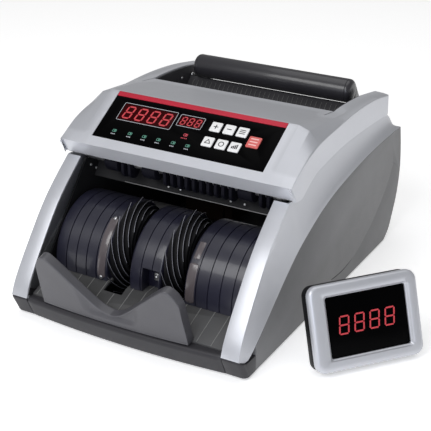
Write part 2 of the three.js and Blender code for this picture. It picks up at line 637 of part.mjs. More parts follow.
// ---------------------------------------------------------------- control panel
// In the panel's own axes x runs right, y up the slope and z out of it.
const KEY = 10;
const KEY_COLUMNS = [24, 36.9, 49.6];
const KEY_ROWS = [35.05, 18.5];
const START_KEY = { x: 63.7, y: 27.2, size: 11.5 };
const COUNT_WINDOW = { x: [-71.6, -16.6], y: [22.6, 42.1] };
const BATCH_WINDOW = { x: [-13.1, 11], y: [28.9, 41.4] };
const LAMP_X = [-66, -49.8, -35.1, -20.7, -5.9, 8.3];

function panelOverlay() {
  const sheet = box([-PANEL_HALF + GAP, PANEL_HALF - GAP], [GAP, PANEL_LENGTH - 0.2], [-1.8, -0.1]);
  const keyHole = (x, y, size) => {
    const reach = size / 2 + GAP;
    return box([x - reach, x + reach], [y - reach, y + reach], [-3, 1]);
  };
  const keyHoles = KEY_ROWS.flatMap((y) => KEY_COLUMNS.map((x) => keyHole(x, y, KEY)));
  keyHoles.push(keyHole(START_KEY.x, START_KEY.y, START_KEY.size));
  const windows = [COUNT_WINDOW, BATCH_WINDOW].map((w) => box(w.x, w.y, [-3, 1]));
  return cut(sheet, ...keyHoles, ...windows);
}

const displayModule = (w) => box([w.x[0] + GAP, w.x[1] - GAP], [w.y[0] + GAP, w.y[1] - GAP], [-8.6, -0.4]);

function controlBoard() {
  const card = box([-82, 82], [1.5, 47.5], [-10.6, -9]);
  const stems = [-78, 78].map((x) => box([x - 2.5, x + 2.5], [3, 8], [-9.2, -2.2]));
  const dome = (x, y) => box([x - 2.5, x + 2.5], [y - 2.5, y + 2.5], [-9.2, -4.4]);
  const domes = KEY_ROWS.flatMap((y) => KEY_COLUMNS.map((x) => dome(x, y)));
  domes.push(dome(START_KEY.x, START_KEY.y));
  const lamps = LAMP_X.map((x) => box([x - 2, x + 2], [8.4, 11.8], [-9.2, -2.2]));
  lamps.push(box([-0.9, 3.1], [18.9, 22.3], [-9.2, -2.2]));
  return unite(card, ...stems, ...domes, ...lamps);
}

const keyCap = (size) => unite(
  box([-size / 2, size / 2], [-size / 2, size / 2], [-2, 0.5]),
  box([-size / 2 + 1.5, size / 2 - 1.5], [-size / 2 + 1.5, size / 2 - 1.5], [-3, -1.5]));

// ---------------------------------------------------------------- separate counting display
function roundedRect(x0, x1, z0, z1, radius, perCorner = 4) {
  return [
    ...arc(x1 - radius, z1 - radius, radius, 0, 90, perCorner),
    ...arc(x0 + radius, z1 - radius, radius, 90, 180, perCorner),
    ...arc(x0 + radius, z0 + radius, radius, 180, 270, perCorner),
    ...arc(x1 - radius, z0 + radius, radius, 270, 360, perCorner),
  ];
}

// An upright outline in x and z, extruded from y[0] back to y[1].
function upright(y, outline) {
  const geometry = new THREE.ExtrudeGeometry(toShape(outline), { depth: y[1] - y[0], bevelEnabled: false });
  geometry.rotateX(Math.PI / 2);
  geometry.translate(0, y[1], 0);
  return solid(geometry);
}

const DISPLAY_WINDOW = { x: [14.4, 86.4], z: [10.2, 60.5] };
const BEZEL_DEPTH = 7;
const SHELL_DEPTH = 19;

function displayBezel() {
  const frame = unite(
    upright([1.6, BEZEL_DEPTH], roundedRect(0, DISPLAY.width, 0, DISPLAY.height, 8)),
    upright([0, 1.8], roundedRect(2.2, DISPLAY.width - 2.2, 2.2, DISPLAY.height - 2.2, 6.5)));
  const window = roundedRect(...DISPLAY_WINDOW.x, ...DISPLAY_WINDOW.z, 2, 2);
  return cut(frame, upright([-1, BEZEL_DEPTH + 1], window));
}

function displayShell() {
  const inside = (inset, radius) => (
    roundedRect(inset, DISPLAY.width - inset, inset, DISPLAY.height - inset, radius));
  const outer = upright([BEZEL_DEPTH + GAP, SHELL_DEPTH], inside(0.8, 8));
  const inner = upright([BEZEL_DEPTH, SHELL_DEPTH - 2.2], inside(3, 6));
  const socket = box([72, 84], [SHELL_DEPTH - 8, SHELL_DEPTH - 1], [6, 15]);
  const socketHole = box([73.4, 82.6], [SHELL_DEPTH - 6.4, SHELL_DEPTH + 1], [7.4, 13.6]);
  const lugs = [[30, 34], [64, 68]].map((x) => box(x, [SHELL_DEPTH - 1, SHELL_DEPTH + 5.4], [40, 46]));
  const pinHole = rod([20, 80], SHELL_DEPTH + 2.6, 43, 1.6, 12);
  return cut(unite(cut(outer, inner), socket, ...lugs), socketHole, pinHole);
}

// Dark window with the digit block behind it.
function digitModule() {
  const glass = upright([3.4, 5.2], roundedRect(DISPLAY_WINDOW.x[0] + GAP, DISPLAY_WINDOW.x[1] - GAP,
    DISPLAY_WINDOW.z[0] + GAP, DISPLAY_WINDOW.z[1] - GAP, 1.8, 2));
  return unite(glass, box([22, 79], [5, 13], [24, 47]));
}

// Leg turned open about its pin, its foot on the table.
const LEG_OPEN = 33;
function displayLeg() {
  const blade = box([36, 62], [-1.2, 1.2], [-38.6, 2.4]);
  const pin = rod([29.6, 68.4], 0, 0, 1.3, 12);
  const eye = rod([36, 62], 0, 0, 2.4, 16);
  return unite(blade, pin, eye).rotate([LEG_OPEN, 0, 0]);
}

// ---------------------------------------------------------------- assembly
const root = new THREE.Group();
const machine = new THREE.Group();
machine.position.set(-SET_CENTRE_X, -SET_CENTRE_Y, 0);
root.add(machine);

piece(machine, 'bottom_chassis', bottomChassis(), charcoal());
piece(machine, 'right_side_panel', sidePanel(), sideGrey());
piece(machine, 'left_side_panel', mirrored(sidePanel()), sideGrey());
piece(machine, 'right_side_frame', sideFrame(), silver());
piece(machine, 'left_side_frame', mirrored(sideFrame()), silver());
piece(machine, 'top_cover', topCover(), silver());
piece(machine, 'front_apron', frontApron(), charcoal());
piece(machine, 'stacker_floor', stackerFloor(), charcoal());
piece(machine, 'rear_cover', rearCover(), sideGrey());
const stop = piece(machine, 'note_stop_plate', stopPlate(), sideGrey(), [-6, -164.4, 22.8]);
stop.rotation.x = THREE.MathUtils.degToRad(15);

piece(machine, 'left_drum_cover', drumCover([-93.5, -38.4], false), blackPlastic());
piece(machine, 'centre_drum_cover', drumCover([-15.8, 15.8], true), blackPlastic());
piece(machine, 'right_drum_cover', drumCover([38.4, 93.5], false), blackPlastic());

const stacker = new THREE.Group();
stacker.position.set(0, STACKER_Y, STACKER_Z);
machine.add(stacker);
piece(stacker, 'stacker_shaft', shaftWithPulley(STACKER_PULLEY, -1), steel());
piece(stacker, 'left_stacker_wheel', stackerWheel(), blackPlastic(), [-WHEEL_X, 0, 0]);
piece(stacker, 'right_stacker_wheel', stackerWheel(), blackPlastic(), [WHEEL_X, 0, 0]);

piece(machine, 'left_side_plate', sidePlate(-1), blackPlastic());
piece(machine, 'right_side_plate', sidePlate(1), blackPlastic());
piece(machine, 'guide_comb', guideComb(), blackPlastic());
piece(machine, 'sensor_bar', sensorBar(), blackPlastic());
piece(machine, 'feed_roller', roller(shaftWithPulley(FEED.pulley, 1), [[-30, 18], [30, 18]], FEED.tyre),
  rubber(), [0, FEED.y, FEED.z]);
piece(machine, 'pickup_roller', roller(shaftWithPulley(8, 1), [[-30, 14], [30, 14]], PICKUP.tyre),
  rubber(), [0, PICKUP.y, PICKUP.z]);
piece(machine, 'counting_roller', roller(rod([-100.5, 100.5], 0, 0, SHAFT, 12), WIDE_ROLLERS, COUNTER.tyre),
  rubber(), [0, COUNTER.y, COUNTER.z]);

piece(machine, 'hopper_plate', hopperPlate(), charcoal());
piece(machine, 'right_hopper_wall', hopperWall(), charcoal());
piece(machine, 'left_hopper_wall', mirrored(hopperWall()), charcoal());
piece(machine, 'carrying_handle', carryingHandle(), charcoal());

piece(machine, 'power_inlet', powerInlet(), blackPlastic());
piece(machine, 'power_switch', switchRocker(), blackPlastic());
piece(machine, 'fuse_holder', fuseHolder(), blackPlastic());
piece(machine, 'display_jack', displayJack(), blackPlastic());
piece(machine, 'thickness_knob', thicknessKnob(), blackPlastic(), [KNOB.x, KNOB.y, KNOB.z]);

const motorX = [24, 84];
piece(machine, 'main_motor', motor(motorX, MOTOR, 1), steel(), [0, MOTOR.y, MOTOR.z]);
piece(machine, 'motor_pulley', motorPulley([28, 106], PULLEY_X), steel(), [0, MOTOR.y, MOTOR.z]);
piece(machine, 'stacker_motor', motor([-80, -36], STACKER_MOTOR, -1), steel(),
  [0, STACKER_MOTOR.y, STACKER_MOTOR.z]);
piece(machine, 'stacker_motor_pulley', motorPulley([-106, -40], [-PULLEY_X[1], -PULLEY_X[0]]), steel(),
  [0, STACKER_MOTOR.y, STACKER_MOTOR.z]);
piece(machine, 'feed_belt', belt(PULLEY_X, { y: FEED.y, z: FEED.z, radius: FEED.pulley },
  { y: MOTOR.y, z: MOTOR.z, radius: MOTOR_PULLEY }), rubber());
piece(machine, 'stacker_belt', belt([-PULLEY_X[1], -PULLEY_X[0]],
  { y: STACKER_Y, z: STACKER_Z, radius: STACKER_PULLEY },
  { y: STACKER_MOTOR.y, z: STACKER_MOTOR.z, radius: MOTOR_PULLEY }), rubber());
piece(machine, 'power_transformer', powerTransformer(), steel());
piece(machine, 'main_board', mainBoard(), boardGreen());

const feet = [
  ['front_left', -88, -128], ['front_right', 88, -128], ['rear_left', -88, 116], ['rear_right', 88, 116],
];
feet.forEach(([place, x, y]) => {
  const foot = new THREE.CylinderGeometry(8, 7, 1.8, 12);
  foot.rotateX(Math.PI / 2);
  piece(machine, `foot_${place}`, solid(foot), rubber(), [x, y, 0.9]);
});

const panel = new THREE.Group();
panel.position.set(0, PANEL_FRONT[0], PANEL_FRONT[1]);
panel.rotation.x = PANEL_TILT;
machine.add(panel);
piece(panel, 'panel_overlay', panelOverlay(), glossBlack());
const overPanel = [PANEL_LENGTH + 0.1, PANEL_LENGTH + TRIM_LENGTH - 0.4];
const trim = box([-PANEL_HALF + GAP, PANEL_HALF - GAP], overPanel, [-1.8, 0.3]);
piece(panel, 'red_trim_bar', trim, material(0xb8283a, 0.4));
piece(panel, 'count_display', displayModule(COUNT_WINDOW), glossBlack());
piece(panel, 'batch_display', displayModule(BATCH_WINDOW), glossBlack());
piece(panel, 'control_board', controlBoard(), boardGreen());
const keyNames = [['key_plus', 'key_minus', 'key_mode'], ['key_add', 'key_detect', 'key_batch']];
keyNames.forEach((row, r) => row.forEach((name, c) => {
  piece(panel, name, keyCap(KEY), material(0xf2f2f2, 0.5), [KEY_COLUMNS[c], KEY_ROWS[r], 0]);
}));
piece(panel, 'key_start', keyCap(START_KEY.size), material(0xd4403c, 0.5), [START_KEY.x, START_KEY.y, 0]);

const displayTurn = new THREE.Group();
displayTurn.position.set(DISPLAY.x, DISPLAY.y, DISPLAY.z);
displayTurn.rotation.z = THREE.MathUtils.degToRad(DISPLAY.yaw);
machine.add(displayTurn);
const display = new THREE.Group();
display.rotation.x = THREE.MathUtils.degToRad(-DISPLAY.lean);
displayTurn.add(display);
piece(display, 'display_bezel', displayBezel(), silver());
piece(display, 'display_shell', displayShell(), blackPlastic());
piece(display, 'display_module', digitModule(), glossBlack());
piece(display, 'display_leg', displayLeg(), blackPlastic(), [0, SHELL_DEPTH + 2.6, 43]);

export default root;
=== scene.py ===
# Banknote counting machine and its separate counting display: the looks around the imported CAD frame.
import math
import bpy
import bmesh
from mathutils import Matrix, Vector


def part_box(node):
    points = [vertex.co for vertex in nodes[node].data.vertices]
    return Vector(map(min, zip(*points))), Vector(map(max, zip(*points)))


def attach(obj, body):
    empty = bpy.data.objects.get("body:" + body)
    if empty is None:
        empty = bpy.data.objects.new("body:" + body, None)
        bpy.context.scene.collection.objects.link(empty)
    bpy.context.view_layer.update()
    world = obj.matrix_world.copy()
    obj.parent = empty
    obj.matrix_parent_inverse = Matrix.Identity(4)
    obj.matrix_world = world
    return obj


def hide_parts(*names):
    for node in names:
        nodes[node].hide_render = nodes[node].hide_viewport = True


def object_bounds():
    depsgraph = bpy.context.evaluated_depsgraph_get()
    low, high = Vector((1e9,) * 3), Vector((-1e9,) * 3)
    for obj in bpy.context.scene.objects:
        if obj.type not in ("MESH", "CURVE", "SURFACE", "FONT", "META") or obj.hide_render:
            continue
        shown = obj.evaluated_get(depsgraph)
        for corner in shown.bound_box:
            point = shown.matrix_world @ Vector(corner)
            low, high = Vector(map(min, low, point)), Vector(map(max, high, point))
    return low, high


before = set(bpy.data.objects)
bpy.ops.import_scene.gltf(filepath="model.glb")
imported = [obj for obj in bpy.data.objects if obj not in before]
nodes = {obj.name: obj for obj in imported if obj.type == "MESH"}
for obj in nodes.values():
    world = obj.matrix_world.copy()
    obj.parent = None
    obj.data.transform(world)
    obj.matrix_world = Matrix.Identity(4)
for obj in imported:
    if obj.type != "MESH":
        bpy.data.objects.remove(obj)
cad_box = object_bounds()

# ------------------------------ the machine's own axes, in millimetres
MM = 0.001
STACKER = (-86.0, 53.5)              # shaft of the stacker wheels, as y and z
COUNTER = (-60.0, 121.0)             # shaft of the counting roller


def middle(node):
    low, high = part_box(node)
    return (low + high) / 2


MACHINE = Matrix.Translation(
    (middle("bottom_chassis").x, middle("counting_roller").y - COUNTER[0] * MM, 0)
) @ Matrix.Scale(MM, 4)


def turned(place, at, axis, degrees):
    return place @ Matrix.Translation(at) @ Matrix.Rotation(math.radians(degrees), 4, axis)


HALF_WIDTH = 115.0
POST_INNER = 96.3
POST_FOOT = (-163.7, 21.8)
POST_TOP = (-75.4, 123.6)
FOOT_HEEL = (-155.0, 17.2)
BASE_Z = 2.0
PANEL_TILT = 30.7
PANEL_HALF = 84.6
PANEL_FRONT = (-73.4, 145.0)
PANEL_LENGTH = 48.3
TRIM_LENGTH = 5.6
DECK_REAR = (43.0, 162.4)
ARCH_INNER = 93.9
ARCH_REAR_Y = 138.6
LIP_TOP = (-80.3, 138.9)
LIP_BOTTOM = (-72.7, 125.2)
DRUM = (-74.8, 40.5)
DRUM_RADIUS = 49.5
WHEEL_X = 27.1
FLOOR_FRONT = (-155.2, 23.6)
FLOOR_CREST = (-124.6, 35.3)
CORNER_BACK = -139.0                 # where the base's front corners meet the side panels
HANDLE = (109.6, 159.4)
HANDLE_RADIUS = 11.2
HANDLE_PIVOT = (126.0, 140.0)

PANEL = turned(MACHINE, (0, *PANEL_FRONT), "X", PANEL_TILT)
DISPLAY = turned(turned(MACHINE, (165.5, -128.0, 6.4), "Z", 50.5), (0, 0, 0), "X", -21.6)
DISPLAY_SIZE = (97.2, 71.1)
WINDOW_X = (14.4, 86.4)
WINDOW_Z = (10.2, 60.5)


# ------------------------------ materials
def node_of(tree, kind, **settings):
    made = tree.nodes.new(kind)
    for key, value in settings.items():
        setattr(made, key, value)
    return made


def noise(tree, space, scale, detail=3.0):
    made = node_of(tree, "ShaderNodeTexNoise")
    made.inputs["Scale"].default_value = scale
    made.inputs["Detail"].default_value = detail
    tree.links.new(space.outputs["Object"], made.inputs["Vector"])
    return made


def ramp(tree, source, low, high, first, second):
    made = node_of(tree, "ShaderNodeValToRGB")
    made.color_ramp.elements[0].position = low
    made.color_ramp.elements[0].color = (*first, 1)
    made.color_ramp.elements[1].position = high
    made.color_ramp.elements[1].color = (*second, 1)
    tree.links.new(source, made.inputs["Fac"])
    return made


def finish_of(name, colour, rough, metal=0.0, mottle=0.06, grain=0.1, grain_scale=900.0, rough_spread=0.06,
              specular=0.5, coat=0.0, glow=0.0, wear_and_edge_highlight=0.0, depth=0.0002):
    """A procedural finish: slow colour mottle, lighter convex edges (edge wear and a painted edge
    highlight), fine grain in the bump and an uneven gloss.
    """
    made = bpy.data.materials.new(name)
    made.use_nodes = True
    tree = made.node_tree
    shader = tree.nodes["Principled BSDF"]
    space = node_of(tree, "ShaderNodeTexCoord")
    cloud = noise(tree, space, 28.0)
    dark = tuple(c * (1 - mottle) for c in colour)
    light = tuple(min(1.0, c * (1 + mottle)) for c in colour)
    tone = ramp(tree, cloud.outputs["Fac"], 0.3, 0.7, dark, light)
    base = tone.outputs["Color"]
    # Lighter colour on convex edges: edge wear, and on the vanes a painted edge highlight.
    if wear_and_edge_highlight:
        geometry = node_of(tree, "ShaderNodeNewGeometry")
        edge_wear_and_highlight_mask = ramp(tree, geometry.outputs["Pointiness"], 0.52, 0.6, (0, 0, 0), (wear_and_edge_highlight,) * 3)
        mix = node_of(tree, "ShaderNodeMix", data_type="RGBA")
        mix.inputs["B"].default_value = (*(min(1.0, 1.6 * c + 0.06) for c in colour), 1)
        tree.links.new(edge_wear_and_highlight_mask.outputs["Color"], mix.inputs["Factor"])
        tree.links.new(base, mix.inputs["A"])
        base = mix.outputs["Result"]
    tree.links.new(base, shader.inputs["Base Color"])
    fine = noise(tree, space, grain_scale, 2.0)
    bump = node_of(tree, "ShaderNodeBump")
    bump.inputs["Strength"].default_value = grain
    bump.inputs["Distance"].default_value = depth
    tree.links.new(fine.outputs["Fac"], bump.inputs["Height"])
    tree.links.new(bump.outputs["Normal"], shader.inputs["Normal"])
    gloss = node_of(tree, "ShaderNodeMapRange")
    gloss.inputs["To Min"].default_value = max(0.02, rough - rough_spread)
    gloss.inputs["To Max"].default_value = min(1.0, rough + rough_spread)
    smudge = noise(tree, space, 90.0)
    tree.links.new(smudge.outputs["Fac"], gloss.inputs["Value"])
    tree.links.new(gloss.outputs["Result"], shader.inputs["Roughness"])
    shader.inputs["Metallic"].default_value = metal
    shader.inputs["Specular IOR Level"].default_value = specular
    shader.inputs["Coat Weight"].default_value = coat
    shader.inputs["Coat Roughness"].default_value = 0.08
    if glow:
        tree.links.new(base, shader.inputs["Emission Color"])
        shader.inputs["Emission Strength"].default_value = glow
    return made


SILVER = finish_of("silver_paint", (0.515, 0.525, 0.56), 0.37, metal=0.42, mottle=0.02, grain=0.12,
                   grain_scale=2600, rough_spread=0.04, wear_and_edge_highlight=0.2)
SIDE_GREY = finish_of("side_grey", (0.178, 0.178, 0.182), 0.55, mottle=0.05, grain=0.35,
                      grain_scale=1500, wear_and_edge_highlight=0.3, specular=0.3)
CHARCOAL = finish_of("charcoal_plastic", (0.027, 0.026, 0.030), 0.5, mottle=0.08, grain=0.3,
                     grain_scale=1500, wear_and_edge_highlight=0.4, specular=0.3)
HANDLE_GREY = finish_of("handle_grey", (0.030, 0.029, 0.034), 0.34, mottle=0.06, grain=0.15,
                        grain_scale=1500, coat=0.25)
STOP_GREY = finish_of("stop_plate_grey", (0.066, 0.065, 0.073), 0.4, mottle=0.05, grain=0.2,
                      grain_scale=1700, wear_and_edge_highlight=0.5)
FLOOR_GREY = finish_of("floor_grey", (0.052, 0.052, 0.053), 0.5, mottle=0.08, grain=0.3,
                       grain_scale=1500, wear_and_edge_highlight=0.5, specular=0.3)
DRUM_BLACK = finish_of("drum_black", (0.010, 0.010, 0.022), 0.34, mottle=0.08, grain=0.04, coat=0.25,
                       wear_and_edge_highlight=0.3)
BLACK = finish_of("black_plastic", (0.004, 0.004, 0.005), 0.45, mottle=0.1, grain=0.2, wear_and_edge_highlight=0.2,
                  specular=0.1)
# Pale colour of the painted highlight along each finger's slanted edge.
EDGE_HIGHLIGHT_PALE = finish_of("painted_edge_highlight", (0.20, 0.20, 0.23), 0.35, mottle=0.3, grain=0.3, wear_and_edge_highlight=0.3)
# The vanes' lighter convex edges are a painted edge highlight.
VANE = finish_of("vane_black", (0.0022, 0.0022, 0.003), 0.4, mottle=0.1, grain=0.06, wear_and_edge_highlight=0.2,
                 specular=0.08)
PANEL_BLACK = finish_of("panel_black", (0.0006, 0.0006, 0.0008), 0.35, mottle=0.1, grain=0.02,
                        specular=0.03)
TRIM_RED = finish_of("trim_red", (0.46, 0.018, 0.04), 0.45, mottle=0.05, grain=0.1, specular=0.3)
KEY_WHITE = finish_of("key_white", (0.80, 0.80, 0.80), 0.45, mottle=0.01, grain=0.1, wear_and_edge_highlight=0.1)
KEY_RED = finish_of("key_red", (0.62, 0.12, 0.11), 0.45, mottle=0.04, grain=0.1)
# Dark print on the keys, and the painted shadow line in the side panels' step.
DARK_PRINT_AND_SHADOW = finish_of("dark_print_and_painted_shadow", (0.012, 0.012, 0.014), 0.6, specular=0.1)
MARK_PALE = finish_of("mark_pale", (0.45, 0.47, 0.5), 0.5, mottle=0.03)
MARK_ROSE = finish_of("mark_rose", (0.85, 0.5, 0.48), 0.5, mottle=0.03)
LAMP_GREEN = finish_of("lamp_green", (0.07, 0.2, 0.15), 0.3, glow=0.3)
LAMP_RED = finish_of("lamp_red", (0.4, 0.05, 0.07), 0.3, glow=0.3)
WINDOW_RED = finish_of("window_red", (0.03, 0.0008, 0.0014), 0.3, mottle=0.1, grain=0.02, specular=0.04)
DIGIT_RED = finish_of("digit_red", (0.42, 0.035, 0.045), 0.4, mottle=0.05, glow=0.35)
GLASS_BLACK = finish_of("glass_black", (0.0006, 0.0006, 0.0008), 0.25, mottle=0.1, grain=0.02,
                        specular=0.03)
STEEL = finish_of("steel", (0.52, 0.52, 0.53), 0.3, metal=0.9, mottle=0.04, grain=0.12,
                  grain_scale=2200)
RUBBER = finish_of("rubber", (0.02, 0.02, 0.021), 0.8, mottle=0.1, grain=0.4, grain_scale=1200)
ROLLER = finish_of("roller_grey", (0.005, 0.005, 0.009), 0.6, mottle=0.08, grain=0.3,
                   grain_scale=1200, specular=0.1)
BOARD = finish_of("board_green", (0.01, 0.075, 0.03), 0.45, mottle=0.15, grain=0.1)
WINDING = finish_of("winding", (0.05, 0.03, 0.022), 0.45, metal=0.3, mottle=0.1, grain=0.5,
                    grain_scale=700)
TINTED = finish_of("tinted_strip", (0.10, 0.085, 0.09), 0.22, mottle=0.06, grain=0.04, coat=0.4)
# Pale ribs on the pocket floor: the paleness is a painted highlight along each rib.
RIB_HIGHLIGHT_PALE = finish_of("floor_rib_painted_highlight", (0.20, 0.20, 0.195), 0.4, mottle=0.08, grain=0.2)
TICK_GREY = finish_of("hopper_rib", (0.13, 0.13, 0.13), 0.45, mottle=0.08, grain=0.2)


# ------------------------------ shapes, each a list of points and a list of faces
def prism(outline, low, high, axis="x"):
    """A closed bar: an outline across one axis, from low to high along it."""
    order = {"x": lambda u, v, w: (w, u, v), "y": lambda u, v, w: (u, w, v), "z": lambda u, v, w: (u, v, w)}
    count = len(outline)
    points = [order[axis](u, v, w) for w in (low, high) for u, v in outline]
    faces = [[i, (i + 1) % count, (i + 1) % count + count, i + count] for i in range(count)]
    faces += [list(range(count))[::-1], list(range(count, 2 * count))]
    return points, faces


def block(x, y, z):
    return prism([(x[0], y[0]), (x[1], y[0]), (x[1], y[1]), (x[0], y[1])], z[0], z[1], "z")


def arc(centre, radius, start, end, steps):
    turn = [math.radians(start + (end - start) * i / steps) for i in range(steps + 1)]
    return [(centre[0] + radius * math.cos(a), centre[1] + radius * math.sin(a)) for a in turn]


def circle(centre, radius, steps=40):
    return arc(centre, radius, 0, 360, steps)[:-1]


def rounded_box(u, v, radius, steps=5):
    corners = [(u[1], v[1], 0), (u[0], v[1], 90), (u[0], v[0], 180), (u[1], v[0], 270)]
    line = []
    for x, y, start in corners:
        inward = (x - radius if x == u[1] else x + radius, y - radius if y == v[1] else y + radius)
        line += arc(inward, radius, start, start + 90, steps)
    return line


def grid(rows, loop=False):
    """A sheet through rows of points; loop joins each row's ends."""
    count = len(rows[0])
    span = count if loop else count - 1
    faces = []
    for r in range(len(rows) - 1):
        for i in range(span):
            a, b = r * count + i, r * count + (i + 1) % count
            faces.append([a, b, b + count, a + count])
    return [p for row in rows for p in row], faces


def tube(rings):
    """A closed solid through matching rings, capped at both ends."""
    points, faces = grid(rings, loop=True)
    count = len(rings[0])
    last = (len(rings) - 1) * count
    return points, faces + [list(range(count))[::-1], list(range(last, last + count))]


def turned_solid(x_and_radius, centre, steps=40):
    """A turned part about the X axis, given as x and radius pairs."""
    return tube([[(x, y, z) for y, z in circle(centre, radius, steps)] for x, radius in x_and_radius])


def mirrored(part):
    points, faces = part
    return [(-x, y, z) for x, y, z in points], [face[::-1] for face in faces]


SIDES = (("right", lambda part: part), ("left", mirrored))


def grown(span, by):
    return span[0] - by, span[1] + by


def about(centre, half):
    return centre - half, centre + half


def on_circle(x, radius, degrees, centre=(0, 0)):
    """The point at an angle around a line along the X axis."""
    angle = math.radians(degrees)
    return x, centre[0] + radius * math.cos(angle), centre[1] + radius * math.sin(angle)


def rounded(line, radii, steps=3):
    """Swaps each inner corner of a line for a short curve."""
    points = [Vector(p) for p in line]
    out = [points[0]]
    for i in range(1, len(points) - 1):
        before, corner, after = points[i - 1], points[i], points[i + 1]
        reach = min(radii[i - 1], 0.45 * (before - corner).length, 0.45 * (after - corner).length)
        start = corner + (before - corner).normalized() * reach
        end = corner + (after - corner).normalized() * reach
        for k in range(steps + 1):
            t = k / steps
            out.append(start * (1 - t) ** 2 + corner * 2 * t * (1 - t) + end * t ** 2)
    return [tuple(p) for p in [*out, points[-1]]]


def spread(low, high, count):
    return [low + (high - low) * i / count for i in range(count + 1)]


def spline(points, steps=160):
    """Uniform Catmull-Rom line through a few points."""
    def value(p0, p1, p2, p3, t):
        v0, v1 = (p2 - p0) / 2, (p3 - p1) / 2
        cubic = 2 * p1 - 2 * p2 + v0 + v1
        square = -3 * p1 + 3 * p2 - 2 * v0 - v1
        return cubic * t ** 3 + square * t ** 2 + v0 * t + p1

    line = []
    for k in range(steps + 1):
        position = (len(points) - 1) * k / steps
        i = min(int(position), len(points) - 2)
        near = [points[max(i - 1, 0)], points[i], points[i + 1], points[min(i + 2, len(points) - 1)]]
        line.append(tuple(value(*[p[c] for p in near], position - i) for c in (0, 1)))
    return line


def along(points):
    """The height of a spline as a function of its first coordinate."""
    line = spline(points)

    def at(u):
        for a, b in zip(line, line[1:]):
            if a[0] <= u <= b[0]:
                return a[1] + (b[1] - a[1]) * (u - a[0]) / max(b[0] - a[0], 1e-9)
        return line[0][1] if u < line[0][0] else line[-1][1]

    return at


def between(u, low, high, first, second):
    t = min(max((u - low) / (high - low), 0.0), 1.0)
    return first + (second - first) * t


# ------------------------------ making pieces
def mesh_of(parts):
    points, faces = [], []
    for part_points, part_faces in parts:
        start = len(points)
        points += part_points
        faces += [[i + start for i in face] for face in part_faces]
    made = bpy.data.meshes.new("work")
    made.from_pydata([tuple(p) for p in points], [], faces)
    return made


def clean(mesh, outward=True):
    work = bmesh.new()
    work.from_mesh(mesh)
    bmesh.ops.remove_doubles(work, verts=work.verts, dist=0.004)
    bmesh.ops.dissolve_degenerate(work, edges=work.edges, dist=0.002)
    if outward:
        bmesh.ops.recalc_face_normals(work, faces=work.faces)
    work.to_mesh(mesh)
    work.free()
    return mesh


def with_modifier(mesh, kind, **settings):
    """The mesh after one modifier; tool is the mesh that a boolean cuts with."""
    helper = bpy.data.objects.new("work", mesh)
    bpy.context.scene.collection.objects.link(helper)
    tool = settings.pop("tool", None)
    step = helper.modifiers.new(kind, kind)
    for key, value in settings.items():
        setattr(step, key, value)
    if tool is not None:
        step.object = bpy.data.objects.new("tool", tool)
        bpy.context.scene.collection.objects.link(step.object)
    bpy.context.view_layer.update()
    result = bpy.data.meshes.new_from_object(helper.evaluated_get(bpy.context.evaluated_depsgraph_get()))
    if tool is not None:
        bpy.data.objects.remove(step.object)
    bpy.data.objects.remove(helper)
    return result


def piece(name, parts, look, body="chassis", stands_for=(), place=MACHINE, edge=0.35, steps=2,
          sharp=34, cuts=None, shell=None, union=False, half=None, extra=()):
    """One finished piece: joined parts, an optional shell, cuts and bevelled edges, then extra parts.

    half trims the shell to that much either side of the middle. extra holds (parts, look, edge) groups.
    """
    mesh = clean(mesh_of(parts), outward=shell is None)
    if shell:
        mesh = with_modifier(mesh, "SOLIDIFY", thickness=shell, offset=-1.0, use_even_offset=False)
        mesh = clean(mesh)
    if half:
        for vertex in mesh.vertices:
            vertex.co.x = max(-half, min(half, vertex.co.x))
    if cuts:
        mesh = with_modifier(mesh, "BOOLEAN", tool=clean(mesh_of(cuts)), operation="DIFFERENCE",
                             solver="EXACT", use_self=union)
    if edge:
        mesh = with_modifier(mesh, "BEVEL", width=edge, segments=steps, limit_method="ANGLE",
                             angle_limit=math.radians(30), use_clamp_overlap=True, harden_normals=False)
    mesh.materials.clear()
    mesh.materials.append(look)
    if extra:
        mesh = added(mesh, extra)
    mesh.transform(place)
    mesh.polygons.foreach_set("use_smooth", [True] * len(mesh.polygons))
    mesh.set_sharp_from_angle(angle=math.radians(sharp))
    made = bpy.data.objects.new(name, mesh)
    bpy.context.scene.collection.objects.link(made)
    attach(made, body)
    if stands_for:
        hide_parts(*([stands_for] if isinstance(stands_for, str) else stands_for))
    return made


def added(mesh, extra):
    """Adds groups of (parts, look, edge) to a mesh, each with its own material."""
    work = bmesh.new()
    work.from_mesh(mesh)
    for index, (parts, look, edge) in enumerate(extra, start=1):
        group = clean(mesh_of(parts))
        if edge:
            group = with_modifier(group, "BEVEL", width=edge, segments=2, limit_method="ANGLE",
                                  angle_limit=math.radians(30))
        first = len(work.faces)
        work.from_mesh(group)
        work.faces.ensure_lookup_table()
        for face in work.faces[first:]:
            face.material_index = index
        mesh.materials.append(look)
    work.to_mesh(mesh)
    work.free()
    return mesh


# ------------------------------ lines that the casing shares
RISE = math.radians(PANEL_TILT)
PEAK = (PANEL_FRONT[0] + (PANEL_LENGTH + TRIM_LENGTH) * math.cos(RISE),
        PANEL_FRONT[1] + (PANEL_LENGTH + TRIM_LENGTH) * math.sin(RISE))
arch_top = along([LIP_TOP, (-56.5, 151.4), (-28.4, 158.2), (14, 160.4), (58, 161), (100, 158),
                  (ARCH_REAR_Y, 151.7)])
arch_foot = along([(LIP_TOP[0], 125), (-60, 121.8), (-45, 125.2), (-23.7, 130), (25, 135.4), (60.8, 136),
                   (106, 134.4), (160, 131)])
belt_line = along([(-150, 16.5), (-80.5, 67.8), (-37.2, 89.6), (-0.1, 101.2), (39.7, 107.8), (76, 111.7),
                   (115, 113.6), (170, 113.9)])
REAR_BULGE = [(134.3, BASE_Z), (146, 10), (154.5, 25), (162.4, 42), (166.8, 65), (165.4, 88),
              (160.5, 113.4)]


